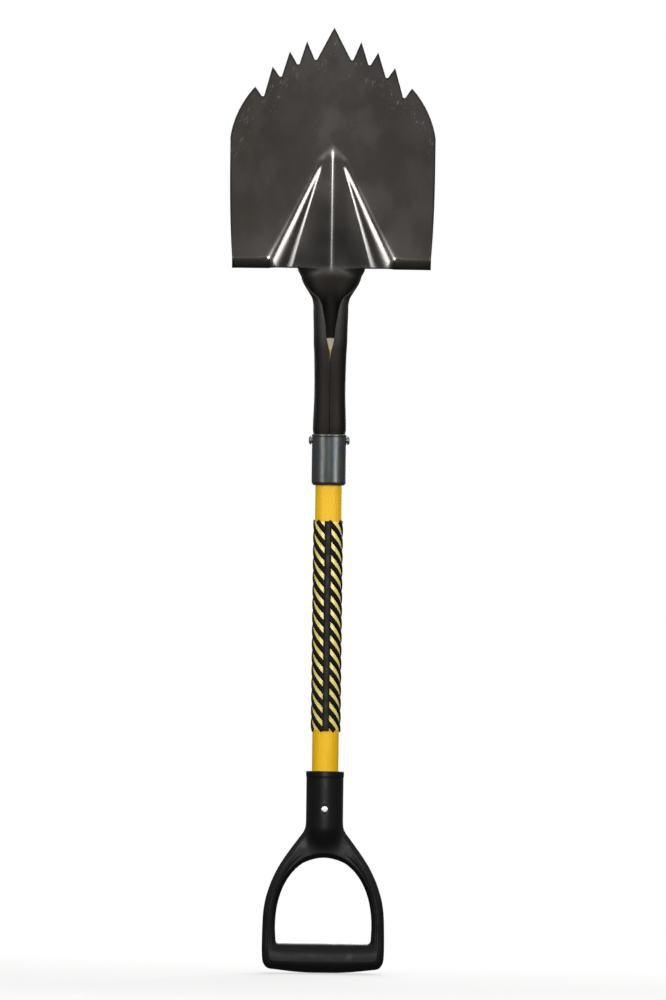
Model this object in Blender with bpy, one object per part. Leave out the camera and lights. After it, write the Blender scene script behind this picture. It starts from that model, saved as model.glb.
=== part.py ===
"""Detecting shovel: a serrated round-point blade with an open-back socket, riveted to a fibreglass shaft that
carries a ribbed sleeve and a D-grip. Metres, +Z from the D-grip's end to the blade's tip, the blade's back at -Y."""

import math

import bmesh
import bpy
from mathutils import Vector

MM = 0.001
GAP = 0.3 * MM  # between pieces that touch
SEGMENTS = 32  # round pieces

# Shaft, its core at the blade's end and its plug at the D-grip's end
SHAFT_LENGTH = 526 * MM
SHAFT_RADIUS = 14.4 * MM
SHAFT_WALL = 3.4 * MM
CORE_LENGTH = 196 * MM
CORE_PROUD = 12 * MM  # how far the core's rounded end stands out of the shaft
PLUG_LENGTH = 48 * MM

# D-grip
GRIP_LENGTH = 220 * MM
GRIP_HALF_WIDTH = 66.5 * MM
GRIP_DEPTH = 21 * MM  # of the frame's arms, front to back
GRIP_SOCKET_DEPTH = 66 * MM
GRIP_SOCKET_WALL = 5.5 * MM
GRIP_LIP = 0.5 * MM
GRIP_SEAT = 3 * MM  # floor left under the shaft's end
OPENING_HALF_WIDTH = 52.5 * MM
OPENING_TOP = 126.5 * MM
OPENING_WAIST = 48 * MM  # where the opening is widest
BAR_HEIGHT = 32 * MM
BAR_DEPTH = 29 * MM
BAR_END_RISE = 5.5 * MM  # the bar's underside curves up by this at its ends
BAR_LAND = 9 * MM  # half-length of the flat land on which the grip stands

# Grip sleeve
SLEEVE_ABOVE_GRIP = 44.3 * MM
SLEEVE_LENGTH = 227.8 * MM
RIB_HEIGHT = 2 * MM
RIB_STARTS = 7
RIB_LEAD = 101.5 * MM
SPINE_WIDTH = 7.6 * MM

# Blade: one pressed sheet
SHEET = 2 * MM
BLADE_LENGTH = 263.6 * MM  # shoulders to tip
BLADE_HALF_WIDTH = 112 * MM
SHOULDER_HALF_WIDTH = 108.5 * MM
SHAFT_TO_SHOULDER = 88 * MM
LIFT = math.radians(12)  # the blade leans forward of the shaft's line
SHOULDER_DISH = 9 * MM  # how far the sides stand forward of the middle
BLADE_DISH = 17 * MM
TIP_CURL = 4 * MM
SIDE_CORNER = 121.5 * MM  # below the tip, where the straight sides end
SIDE_TAPER = 2.6  # the sides draw in to the shoulders' width mostly near them
RIM_BOW = 4.6 * MM  # bulge of the arc from the last tooth to the side

# Teeth: a rule for tips and gullets on each side of the centre tooth
TEETH = 4
FIRST_TOOTH = 29.6 * MM
TOOTH_PITCH = 18.6 * MM
FIRST_GULLET = 19.8 * MM
GULLET_PITCH = 19.1 * MM
GULLET_HALF_WIDTH = 1.4 * MM
TOOTH_DEPTH = 20.5 * MM
GULLET_EXTRAS = (3.2 * MM, -0.4 * MM, -1.2 * MM, 0.2 * MM)  # each gullet's own extra depth
CENTRE_TOOTH_PROUD = 8.6 * MM
TOOTH_CURVE = 7.85  # per metre: the tips fall away from the centre by this times x squared

# Frog: the hollow pressed in the blade's back
FROG_LENGTH = 128.5 * MM
FROG_WALL_TOP = (64.5 * MM, 8 * MM)  # half-widths at the shoulders and at the frog's point
FROG_WALL_FOOT = (49 * MM, 7 * MM)
WALL_TOP_SOFTNESS = (15 * MM, 0.8 * MM)  # rounding of the wall's two bends
WALL_FOOT_SOFTNESS = (5 * MM, 0.3 * MM)
FLOOR_SAG = (0.8 * MM, 0.1 * MM)
FLOOR_POWER = 2.5
CREASE_SLOPE = 0.15
CREASE_RADIUS = 2.5 * MM

# Throat and socket
THROAT_HALF_WIDTH = 36.8 * MM
SOCKET_LENGTH = 232 * MM  # shoulders to mouth
SOCKET_CLEARANCE = 0.6 * MM  # between the shaft and the sheet
SOCKET_FLARE = 1.1 * MM  # the socket widens by this just above the collar
FLARE_LENGTH = 45 * MM
SOCKET_SWELL = 0.5 * MM  # the socket swells by this where the throat begins to open
SWELL_BELOW_SHOULDER = 91 * MM
SWELL_REACH = 38 * MM
SEAM_HALF_ANGLE = math.radians(1.2)
# Below the shoulder, developed half-width as a share of the socket's, half-angle turned, bunching to the edge
THROAT = (
    (0, 0.742, 7, 1.5),
    (4.5, 0.765, 52, 1.8),
    (9, 0.785, 80, 1.9),
    (17.5, 0.825, 96, 1.5),
    (26, 0.865, 118, 1.2),
    (34, 0.905, 146, 1.1),
    (41.5, 0.945, 150, 1.0),
    (55, 0.985, 158, 1.0),
    (68, 0.99, 164, 1.0),
    (78, 0.99, 167, 1.0),
    (86, 1.0, 173, 1.0),
    (93, 1.0, 178, 1.0),
)

# Turned steps
STEP_INNER = 67 * MM
STEP_DEPTH = 17.5 * MM
STEP_PITCH = math.radians(30)
STEP_BEND = 3 * MM

# Collar and rivets
COLLAR_LENGTH = 55.6 * MM
COLLAR_WALL = 1.1 * MM
COLLAR_BELOW_SOCKET = 4.6 * MM
COLLAR_LIP = 0.35 * MM
COLLAR_RIVET_BELOW_TOP = 6.6 * MM
COLLAR_RIVET_RADIUS = 3 * MM
COLLAR_RIVET_HEAD = (4.75 * MM, 2.9 * MM)  # radius and height
GRIP_RIVET_BELOW_MOUTH = 41.5 * MM
GRIP_RIVET_RADIUS = 2.6 * MM
GRIP_RIVET_HEAD = (3.8 * MM, 1.3 * MM)

# Grid of the blade's sheet
THROAT_COLUMNS = 8
FROG_ROWS = 9
RIM_ROWS = 5
FAN = 14 * MM  # the rim's rows start level up to here, so that their columns don't cross

# Stations along Z
SHAFT_BOTTOM = GRIP_LENGTH - GRIP_SOCKET_DEPTH
SHAFT_TOP = SHAFT_BOTTOM + SHAFT_LENGTH
SHOULDER = SHAFT_TOP + SHAFT_TO_SHOULDER
FROG_POINT = SHOULDER + FROG_LENGTH
TIP = SHOULDER + BLADE_LENGTH
SOCKET_MOUTH = SHOULDER - SOCKET_LENGTH
COLLAR_BOTTOM = SOCKET_MOUTH - COLLAR_BELOW_SOCKET
COLLAR_TOP = COLLAR_BOTTOM + COLLAR_LENGTH
COLLAR_RIVET_Z = COLLAR_TOP - COLLAR_RIVET_BELOW_TOP
GRIP_RIVET_Z = GRIP_LENGTH - GRIP_RIVET_BELOW_MOUTH
SLEEVE_BOTTOM = GRIP_LENGTH + SLEEVE_ABOVE_GRIP

# Radii that follow the shaft
CORE_RADIUS = SHAFT_RADIUS - SHAFT_WALL - GAP
SOCKET_RADIUS = SHAFT_RADIUS + SOCKET_CLEARANCE + SHEET / 2  # middle of the sheet
COLLAR_INNER = SOCKET_RADIUS + 0.4 * MM + SHEET / 2 + GAP
COLLAR_RADIUS = COLLAR_INNER + COLLAR_WALL
GRIP_SOCKET_RADIUS = SHAFT_RADIUS + GAP + GRIP_SOCKET_WALL


# ---------------------------------------------------------------- small tools


def clear_scene():
    """Removes every object, so that only the shovel is left."""
    for obj in list(bpy.data.objects):
        bpy.data.objects.remove(obj, do_unlink=True)


def material(name, colour, roughness, metallic=0.0):
    """A Principled material with one colour."""
    made = bpy.data.materials.new(name)
    made.use_nodes = True
    shader = made.node_tree.nodes["Principled BSDF"]
    shader.inputs["Base Color"].default_value = (*colour, 1)
    shader.inputs["Roughness"].default_value = roughness
    shader.inputs["Metallic"].default_value = metallic
    return made


def add_object(name, bm, finish=None):
    """An object from a bmesh, shaded smooth between sharp edges."""
    mesh = bpy.data.meshes.new(name)
    bm.to_mesh(mesh)
    bm.free()
    mesh.shade_smooth()
    mesh.set_sharp_from_angle(angle=math.radians(35))
    obj = bpy.data.objects.new(name, mesh)
    bpy.context.scene.collection.objects.link(obj)
    if finish:
        mesh.materials.append(finish)
    return obj


def add_cutter(name, bm):
    """A helper that a Boolean uses and nothing shows."""
    obj = add_object(name, bm)
    obj.hide_render = True
    obj.display_type = "WIRE"
    return obj


def boolean(obj, helper, operation="DIFFERENCE"):
    """Adds a Boolean modifier."""
    modifier = obj.modifiers.new(operation.lower(), "BOOLEAN")
    modifier.operation = operation
    modifier.solver = "EXACT"
    modifier.object = helper


def skin(rings, closed_ends=True):
    """A closed surface through rings of points, one ring after another, or round again to the first."""
    bm = bmesh.new()
    loops = [[bm.verts.new(point) for point in ring] for ring in rings]
    following = loops[1:] if closed_ends else loops[1:] + loops[:1]
    for low, high in zip(loops, following):
        for i in range(len(low)):
            j = (i + 1) % len(low)
            bm.faces.new((low[i], low[j], high[j], high[i]))
    if closed_ends:
        bm.faces.new(loops[0])
        bm.faces.new(loops[-1])
    bmesh.ops.recalc_face_normals(bm, faces=bm.faces)
    return bm


def on_axis(axis, radius, angle, along):
    """A point at a radius and an angle round the X, Y or Z axis."""
    across, up = radius * math.cos(angle), radius * math.sin(angle)
    return {"X": (along, across, up), "Y": (across, along, up), "Z": (across, up, along)}[axis]


def turned(profile, axis="Z", centre=(0, 0, 0), segments=SEGMENTS, tube=False):
    """A turned solid from (radius, along) pairs. A tube's profile closes on itself."""
    turn = [2 * math.pi * i / segments for i in range(segments)]
    rings = [[Vector(centre) + Vector(on_axis(axis, r, a, h)) for a in turn] for r, h in profile]
    return skin(rings, closed_ends=not tube)


def smooth_step(value, low, high):
    """0 below low, 1 above high, and smooth between."""
    t = min(max((value - low) / (high - low), 0), 1)
    return t * t * (3 - 2 * t)


def between(pair, t):
    """A value t of the way from the first of a pair to the second."""
    return pair[0] + (pair[1] - pair[0]) * t


def soft_max(a, b, softness):
    """The larger of two heights, rounded where they meet."""
    near = max(softness - abs(a - b), 0) / softness
    return max(a, b) + near * near * softness / 4


# ---------------------------------------------------------------- blade


def rim_height(x):
    """Height of the toothed rim at x, which is at or beyond the last tooth's tip or is a tip or gullet."""
    last = FIRST_TOOTH + TOOTH_PITCH * (TEETH - 1)
    start = Vector((last, tooth_tip(last)))
    end = Vector((BLADE_HALF_WIDTH, TIP - SIDE_CORNER))
    chord = end - start
    radius = (chord.length_squared / 4 + RIM_BOW**2) / (2 * RIM_BOW)
    inward = Vector((chord.y, -chord.x)).normalized()
    centre = (start + end) / 2 + inward * (radius - RIM_BOW)
    return centre.y + math.sqrt(radius**2 - (x - centre.x) ** 2)


def tooth_tip(x):
    """Height of the curve on which the side teeth's tips lie."""
    return TIP - CENTRE_TOOTH_PROUD - TOOTH_CURVE * x * x


def rim_points():
    """(x, z) of half the toothed rim, from the centre tooth's tip to the side corner."""
    points = [(0, TIP)]
    for i in range(TEETH):
        gullet = FIRST_GULLET + GULLET_PITCH * i
        tooth = FIRST_TOOTH + TOOTH_PITCH * i
        floor = tooth_tip(gullet) - TOOTH_DEPTH - GULLET_EXTRAS[i]
        points += [(gullet - GULLET_HALF_WIDTH, floor), (gullet + GULLET_HALF_WIDTH, floor)]
        points.append((tooth, tooth_tip(tooth)))
    last = points[-1][0]
    for share in (0.35, 0.65, 0.87):
        x = between((last, BLADE_HALF_WIDTH), share)
        points.append((x, rim_height(x)))
    points.append((BLADE_HALF_WIDTH, TIP - SIDE_CORNER))
    return points


def shoulder_columns():
    """Half-widths of the sheet's columns at the shoulder: throat, frog wall, then the wing over the step."""
    columns = [THROAT_HALF_WIDTH * i / THROAT_COLUMNS for i in range(THROAT_COLUMNS + 1)]
    foot, top = FROG_WALL_FOOT[0], FROG_WALL_TOP[0]
    columns += [(THROAT_HALF_WIDTH + foot) / 2, foot, (foot + top) / 2, top, STEP_INNER]
    columns += [between((STEP_INNER, SHOULDER_HALF_WIDTH), share) for share in (1 / 3, 2 / 3, 1)]
    return columns


def point_columns():
    """Half-widths of the same columns at the height of the frog's point."""
    foot, top = FROG_WALL_FOOT[1], FROG_WALL_TOP[1]
    columns = [0.8 * foot * i / THROAT_COLUMNS for i in range(THROAT_COLUMNS + 1)]
    columns += [0.9 * foot, foot, (foot + top) / 2, top]
    columns += [between((top, BLADE_HALF_WIDTH), share) for share in (0.22, 0.52, 0.78, 1)]
    return columns


def wing(x, z):
    """Middle of the sheet on the blade's dished face."""
    grown = smooth_step(z, SHOULDER + 20 * MM, FROG_POINT)
    flat = SHOULDER_DISH / SHOULDER_HALF_WIDTH**2
    full = BLADE_DISH / BLADE_HALF_WIDTH**2
    curl = TIP_CURL * max(0, (z - FROG_POINT) / (TIP - FROG_POINT)) ** 2
    leaning = math.tan(LIFT) * (z - FROG_POINT)
    return SOCKET_RADIUS + leaning + between((flat, full), grown) * x * x + curl


def crease(x, slope=CREASE_SLOPE):
    """How far the floor falls back from the sharp line down its middle."""
    return slope * (math.hypot(x, CREASE_RADIUS) - CREASE_RADIUS)


def frog_floor(x, z):
    """Middle of the sheet on the frog's floor, which runs on from the socket's front."""
    t = min(max((z - SHOULDER) / FROG_LENGTH, 0), 1)
    edge = between((THROAT_HALF_WIDTH, 0.8 * FROG_WALL_FOOT[1]), t)
    return SOCKET_RADIUS - between(FLOOR_SAG, t) * (abs(x) / edge) ** FLOOR_POWER - crease(x)


def sheet_y(x, z):
    """Middle of the sheet anywhere on the blade above the shoulders."""
    t = min(max((z - SHOULDER) / FROG_LENGTH, 0), 1)
    foot, top = between(FROG_WALL_FOOT, t), between(FROG_WALL_TOP, t)
    foot_y, top_y = frog_floor(foot, z), wing(top, z)
    floor_slope = (frog_floor(foot - 1 * MM, z) - foot_y) / MM
    steepness = max(floor_slope, (foot_y - top_y) / (top - foot))
    wall = foot_y - steepness * (abs(x) - foot)
    pairs = (WALL_FOOT_SOFTNESS, WALL_TOP_SOFTNESS)
    foot_soft, top_soft = (low * (1 - t) ** 1.5 + high * t for low, high in pairs)
    hollow = -soft_max(-frog_floor(x, z), -wall, foot_soft)
    return soft_max(wing(x, z), hollow, top_soft)


def throat_values(drop):
    """Developed half-width, half-angle and bunching of the throat at a drop below the shoulder."""
    rows = THROAT
    for low, high in zip(rows, rows[1:]):
        if drop <= high[0] * MM:
            t = (drop / MM - low[0]) / (high[0] - low[0])
            return [between((a, b), t) for a, b in zip(low[1:], high[1:])]
    return rows[-1][1:]


def socket_radius(z):
    """Middle of the socket's sheet: it flares above the collar and fits inside it below."""
    flare = SOCKET_FLARE * (1 - smooth_step(z, COLLAR_TOP + 5 * MM, COLLAR_TOP + FLARE_LENGTH))
    inside = 1 - smooth_step(z, COLLAR_TOP + 1 * MM, COLLAR_TOP + 5 * MM)
    swell = 1 - smooth_step(abs(SHOULDER - z - SWELL_BELOW_SHOULDER), 0, SWELL_REACH)
    return SOCKET_RADIUS + flare + SOCKET_SWELL * swell - inside * (SOCKET_FLARE - 0.4 * MM)


def throat_section(z):
    """Half the throat's or socket's section at z, from the front's middle to the free edge at the back."""
    share, degrees, bunching = throat_values(SHOULDER - z)
    radius = socket_radius(z)
    half_length = share * (math.pi - SEAM_HALF_ANGLE) * radius
    fine = 12
    step = half_length / (THROAT_COLUMNS * fine)
    x, y, points = 0, radius, [(0, radius)]
    for i in range(THROAT_COLUMNS * fine):
        angle = math.radians(degrees) * ((i + 0.5) / (THROAT_COLUMNS * fine)) ** bunching
        x, y = x + step * math.cos(angle), y - step * math.sin(angle)
        if i % fine == fine - 1:
            points.append((x, y))
    slope = CREASE_SLOPE * (1 - smooth_step(SHOULDER - z, 0, 36 * MM))
    return [(x, y - crease(x, slope), z) for x, y in points]


def step_profile(x):
    """The turned step at x, from the blade down round its bend to the free edge."""
    splay = SHOULDER_DISH / SHOULDER_HALF_WIDTH**2 * (STEP_INNER + SHOULDER_HALF_WIDTH)
    edge_y = wing(STEP_INNER, SHOULDER) + STEP_DEPTH + splay * (x - STEP_INNER)
    reach = edge_y - sheet_y(x, SHOULDER)
    rise = reach * math.tan(STEP_PITCH) / (1 + math.tan(LIFT) * math.tan(STEP_PITCH))
    fold = Vector((x, edge_y - rise / math.tan(STEP_PITCH), SHOULDER + rise))
    up = Vector((0, math.sin(LIFT), math.cos(LIFT)))
    out = Vector((0, math.cos(STEP_PITCH), -math.sin(STEP_PITCH)))
    half_turn = (math.pi - up.angle(out)) / 2
    bisector = (up + out).normalized()
    start, end = (fold + STEP_BEND * math.tan(half_turn) * way for way in (up, out))
    middle = fold + bisector * STEP_BEND * (1 / math.cos(half_turn) - 1)
    edge = Vector((x, edge_y, SHOULDER))
    return [start, middle, end, end.lerp(edge, 0.3), edge]


def sheet_rows():
    """The half sheet's points as rows, from the socket's mouth up. Rows in the throat hold fewer columns."""
    drops = [row[0] * MM for row in THROAT if row[0] > 0]
    heights = [SOCKET_MOUTH, COLLAR_TOP + 1 * MM, COLLAR_TOP + 5 * MM, COLLAR_TOP + 0.5 * FLARE_LENGTH]
    heights += [COLLAR_TOP + FLARE_LENGTH] + [SHOULDER - drop for drop in reversed(drops)]
    rows = [throat_section(z) for z in heights]
    low, high, rim = shoulder_columns(), point_columns(), rim_points()
    for r in range(FROG_ROWS + 1):
        z, t = between((SHOULDER, FROG_POINT), r / FROG_ROWS), r / FROG_ROWS
        row = []
        for i, (a, b) in enumerate(zip(low, high)):
            outer = max(0, i - low.index(STEP_INNER) + 1) / (len(low) - low.index(STEP_INNER))
            x = b - (b - a) * (1 - t) ** between((1, SIDE_TAPER), outer)
            at = z
            if r == 0 and a >= STEP_INNER:
                at = step_profile(x)[0].z
            row.append((x, sheet_y(x, at), at))
        rows.append(row)
    for r in range(1, RIM_ROWS + 1):
        t = 1 - (1 - r / RIM_ROWS) ** 1.4
        row = []
        for a, (rim_x, rim_z) in zip(high, rim):
            x, z = between((a, rim_x), t), FROG_POINT + FAN * t + (rim_z - FROG_POINT - FAN) * t**3
            row.append((x, sheet_y(x, z), z))
        rows.append(row)
    return rows


def join_rows(bm, low, high):
    """Faces between two rows, as far as the shorter one goes."""
    for i in range(min(len(low), len(high)) - 1):
        bm.faces.new((low[i], low[i + 1], high[i + 1], high[i]))


def build_blade(finish):
    """The blade, frog, steps, throat and socket, pressed from one sheet."""
    bm = bmesh.new()
    rows = [[bm.verts.new(point) for point in row] for row in sheet_rows()]
    for low, high in zip(rows, rows[1:]):
        join_rows(bm, low, high)
    columns = shoulder_columns()
    first = columns.index(STEP_INNER)
    shoulder = next(row for row in rows if len(row) == len(columns))
    corner = shoulder[first - 1]
    flanges = []
    for i in range(first, len(columns)):
        profile = step_profile(columns[i])
        flanges.append([shoulder[i]] + [bm.verts.new(point) for point in profile[1:]])
    for inner, outer in zip(flanges, flanges[1:]):
        join_rows(bm, outer, inner)
    for a, b in zip(flanges[0], flanges[0][1:]):
        bm.faces.new((corner, b, a))
    mirror_sheet(bm)
    blade = add_object("blade", bm, finish)
    solid = blade.modifiers.new("sheet", "SOLIDIFY")
    solid.thickness = SHEET
    solid.offset = 0
    solid.use_even_offset = True
    hole = turned([(COLLAR_RIVET_RADIUS + GAP, -40 * MM), (COLLAR_RIVET_RADIUS + GAP, 40 * MM)],
                  "X", (0, 0, COLLAR_RIVET_Z), 16)
    boolean(blade, add_cutter("blade_rivet_hole", hole))


def mirror_sheet(bm):
    """Adds the other half of a sheet across X and turns all faces the same way."""
    made = bmesh.ops.duplicate(bm, geom=bm.verts[:] + bm.edges[:] + bm.faces[:])["geom"]
    copies = [item for item in made if isinstance(item, bmesh.types.BMVert)]
    for vert in copies:
        vert.co.x = -vert.co.x
    bmesh.ops.reverse_faces(bm, faces=[item for item in made if isinstance(item, bmesh.types.BMFace)])
    bmesh.ops.remove_doubles(bm, verts=bm.verts, dist=0.01 * MM)
    bmesh.ops.recalc_face_normals(bm, faces=bm.faces)


# ---------------------------------------------------------------- collar and rivets


def rivet_hole(name, axis, radius, z):
    """A cutter for a rivet that crosses the shaft at z."""
    reach = 60 * MM
    return add_cutter(name, turned([(radius + GAP, -reach), (radius + GAP, reach)], axis, (0, 0, z), 16))


def build_collar(finish):
    """The ferrule: a rolled lip above, swaged in on to the shaft below."""
    bore, neck = SHAFT_RADIUS + GAP, 5 * MM
    top, bottom, wall = COLLAR_TOP, COLLAR_BOTTOM, COLLAR_WALL
    shelf = bottom + COLLAR_BELOW_SOCKET - GAP
    profile = [
        (COLLAR_INNER, top),
        (COLLAR_INNER, shelf),
        (bore, shelf - 1.5 * wall),
        (bore, bottom),
        (COLLAR_RADIUS - 2 * MM, bottom),
        (COLLAR_RADIUS, bottom + neck / 2),
        (COLLAR_RADIUS, top - 3 * MM),
        (COLLAR_RADIUS + COLLAR_LIP, top - 1.5 * MM),
        (COLLAR_RADIUS + COLLAR_LIP, top - 0.6 * MM),
        (COLLAR_RADIUS - 0.3 * MM, top),
    ]
    collar = add_object("socket_collar", turned(profile, tube=True), finish)
    boolean(collar, rivet_hole("collar_rivet_hole", "X", COLLAR_RIVET_RADIUS, COLLAR_RIVET_Z))


def rivet(name, axis, shank, head, reach, z, finish):
    """A rivet through the axis, domed at both ends, with its heads' undersides at reach."""
    radius, height = head
    dome = [(0.94, 0.45), (0.72, 0.8), (0.38, 0.97)]
    side = [(shank, 0), (shank, reach), (radius, reach)]
    side += [(radius * r, reach + height * h) for r, h in dome]
    profile = [(r, -h) for r, h in reversed(side[1:])] + side[1:]
    add_object(name, turned(profile, axis, (0, 0, z), 16), finish)


# ---------------------------------------------------------------- shaft, core and plug


def build_shaft(yellow, cream):
    """The tube, and the core and plug that back it where the rivets cross."""
    inner = SHAFT_RADIUS - SHAFT_WALL
    bevel = 0.8 * MM
    wall = [
        (inner, SHAFT_BOTTOM),
        (SHAFT_RADIUS, SHAFT_BOTTOM),
        (SHAFT_RADIUS, SHAFT_TOP - bevel),
        (SHAFT_RADIUS - bevel, SHAFT_TOP),
        (inner, SHAFT_TOP),
    ]
    shaft = add_object("shaft", turned(wall, tube=True), yellow)
    end = SHAFT_TOP + CORE_PROUD
    rod = [(CORE_RADIUS, end - CORE_LENGTH), (CORE_RADIUS, end - 3 * MM), (0.8 * CORE_RADIUS, end)]
    core = add_object("shaft_core", turned(rod), cream)
    bottom = SHAFT_BOTTOM + GAP
    stub = [(CORE_RADIUS, bottom), (CORE_RADIUS, bottom + PLUG_LENGTH)]
    plug = add_object("shaft_plug", turned(stub), cream)
    collar_hole = rivet_hole("shaft_collar_hole", "X", COLLAR_RIVET_RADIUS, COLLAR_RIVET_Z)
    grip_hole = rivet_hole("shaft_grip_hole", "Y", GRIP_RIVET_RADIUS, GRIP_RIVET_Z)
    boolean(shaft, collar_hole)
    boolean(shaft, grip_hole)
    boolean(core, collar_hole)
    boolean(plug, grip_hole)


# ---------------------------------------------------------------- grip sleeve


def arc_sector(inner, outer, middle, half_angle, z, points):
    """A level ring sector, as points round its outline."""
    turns = [middle + half_angle * (2 * i / (points - 1) - 1) for i in range(points)]
    ring = [on_axis("Z", outer, a, z) for a in turns]
    return ring + [on_axis("Z", inner, a, z) for a in reversed(turns)]


def build_sleeve(finish):
    """Helical ribs joined by a spine down the sleeve's back, which is the blade's back too."""
    turn_step = math.radians(18)
    steps = math.ceil(2 * math.pi * SLEEVE_LENGTH / RIB_LEAD / turn_step)
    half = math.pi / RIB_STARTS / 2
    inner = (SHAFT_RADIUS + GAP) / math.cos(half)
    outer = SHAFT_RADIUS + RIB_HEIGHT
    bm = bmesh.new()
    for start in range(RIB_STARTS):
        rings = []
        for i in range(steps + 1):
            z = SLEEVE_BOTTOM + SLEEVE_LENGTH * i / steps
            middle = 2 * math.pi * (start / RIB_STARTS - (z - SLEEVE_BOTTOM) / RIB_LEAD)
            rings.append(arc_sector(inner, outer, middle, half, z, 2))
        rib = skin(rings)
        bmesh.ops.triangulate(rib, faces=rib.faces, quad_method="SHORT_EDGE")
        mesh = bpy.data.meshes.new("rib")
        rib.to_mesh(mesh)
        rib.free()
        bm.from_mesh(mesh)
        bpy.data.meshes.remove(mesh)
    sleeve = add_object("grip_sleeve", bm, finish)
    spine_half = SPINE_WIDTH / 2 / outer
    low, high = SLEEVE_BOTTOM - 0.4 * MM, SLEEVE_BOTTOM + SLEEVE_LENGTH + 0.4 * MM
    radii = (SHAFT_RADIUS + 1.5 * GAP, outer + 0.2 * MM)
    ends = [arc_sector(*radii, -math.pi / 2, spine_half, z, 3) for z in (low, high)]
    boolean(sleeve, add_cutter("sleeve_spine", skin(ends)), "UNION")


# ---------------------------------------------------------------- D-grip


def smooth_through(points, pieces):
    """A Catmull-Rom curve through points, with that many pieces between each two."""
    ends = [points[0]] + points + [points[-1]]
    curve = []
    for a, b, c, d in zip(ends, ends[1:], ends[2:], ends[3:]):
        for i in range(pieces):
            t = i / pieces
            curve.append(tuple(
                0.5 * (2 * q + (r - p) * t + (2 * p - 5 * q + 4 * r - s) * t**2 + (3 * q - p - 3 * r + s) * t**3)
                for p, q, r, s in zip(a, b, c, d)))
    return curve + [points[-1]]


def grip_outline():
    """Half the frame's outer outline as (x, z), from under the bar's end up to the socket."""
    wide, neck = GRIP_HALF_WIDTH, GRIP_SOCKET_RADIUS
    fork = OPENING_TOP
    corners = [
        (0.86 * wide, 5 * MM),
        (0.95 * wide, 8 * MM),
        (wide, 18 * MM),
        (0.995 * wide, 0.45 * fork),
        (0.965 * wide, 0.6 * fork),
        (0.91 * wide, 0.711 * fork),
        (0.83 * wide, 0.822 * fork),
        (0.72 * wide, 0.933 * fork),
        (0.585 * wide, 1.04 * fork),
        (between((wide, neck), 0.8), 1.142 * fork),
        (neck - 0.6 * MM, 1.25 * fork),
        (neck - 4 * MM, 1.32 * fork),
    ]
    return smooth_through(corners, 2)


def opening_outline():
    """The hand opening's outline as (x, z): a superellipse arch over a straight foot inside the bar."""
    rise = OPENING_TOP - OPENING_WAIST
    arch = []
    for i in range(17):
        turn = math.pi * i / 16
        x, up = math.cos(turn), math.sin(turn)
        arch.append((OPENING_HALF_WIDTH * x, OPENING_WAIST + rise * up ** (2 / 2.25)))
    foot = BAR_HEIGHT - 6 * MM
    inner = 0.97 * OPENING_HALF_WIDTH
    return [(inner, foot)] + arch + [(-inner, foot)]


def slab(outline, depth):
    """A flat plate standing in the XZ plane."""
    return skin([[(x, y, z) for x, z in outline] for y in (-depth / 2, depth / 2)])


def build_bar():
    """The hand bar: a barrel with a flat land under its middle."""
    points, power = 16, 2.4
    reach = GRIP_HALF_WIDTH - 5 * MM
    stations = [-reach, -0.75 * reach, -0.45 * reach, -BAR_LAND, BAR_LAND, 0.45 * reach, 0.75 * reach, reach]
    facet = math.sin(math.pi / 2 - math.pi / points) ** (2 / power)
    rings = []
    for x in stations:
        away = max(0, abs(x) - BAR_LAND) / (reach - BAR_LAND)
        bottom = BAR_END_RISE * away**2
        middle, half_height = (BAR_HEIGHT + bottom) / 2, (BAR_HEIGHT - bottom) / 2 / facet
        half_depth = BAR_DEPTH / 2 - 2 * MM * away**2
        ring = []
        for i in range(points):
            turn = 2 * math.pi * (i + 0.5) / points
            c, s = math.cos(turn), math.sin(turn)
            across = math.copysign(abs(c) ** (2 / power), c)
            up = math.copysign(abs(s) ** (2 / power), s)
            ring.append((x, half_depth * across, middle + half_height * up))
        rings.append(ring)
    return skin(rings)


def build_grip(finish):
    """The D-grip: a socket, a forked frame and a hand bar, moulded in one."""
    half = grip_outline()
    outline = half + [(-x, z) for x, z in reversed(half)]
    grip = add_object("d_grip", slab(outline, GRIP_DEPTH), finish)
    boolean(grip, add_cutter("grip_opening", slab(opening_outline(), 2 * GRIP_DEPTH)))
    bevel = grip.modifiers.new("edges", "BEVEL")
    bevel.width = 3.5 * MM
    bevel.segments = 2
    bevel.limit_method = "ANGLE"
    bevel.angle_limit = math.radians(50)
    boolean(grip, add_cutter("grip_bar", build_bar()), "UNION")
    fork = OPENING_TOP + 8 * MM
    tube = [
        (GRIP_DEPTH / 2 - 3 * MM, fork),
        (GRIP_SOCKET_RADIUS - 2 * MM, SHAFT_BOTTOM - GRIP_SEAT - 6 * MM),
        (GRIP_SOCKET_RADIUS, SHAFT_BOTTOM),
        (GRIP_SOCKET_RADIUS, GRIP_LENGTH - 7 * MM),
        (GRIP_SOCKET_RADIUS + GRIP_LIP, GRIP_LENGTH - 5 * MM),
        (GRIP_SOCKET_RADIUS + GRIP_LIP, GRIP_LENGTH - 1 * MM),
        (GRIP_SOCKET_RADIUS + GRIP_LIP - 1 * MM, GRIP_LENGTH),
    ]
    boolean(grip, add_cutter("grip_socket", turned(tube)), "UNION")
    bore = [(SHAFT_RADIUS + GAP, SHAFT_BOTTOM - GAP), (SHAFT_RADIUS + GAP, GRIP_LENGTH + 5 * MM)]
    boolean(grip, add_cutter("grip_bore", turned(bore)))
    boolean(grip, rivet_hole("grip_rivet_hole", "Y", GRIP_RIVET_RADIUS, GRIP_RIVET_Z))


# ---------------------------------------------------------------- the shovel


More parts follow.
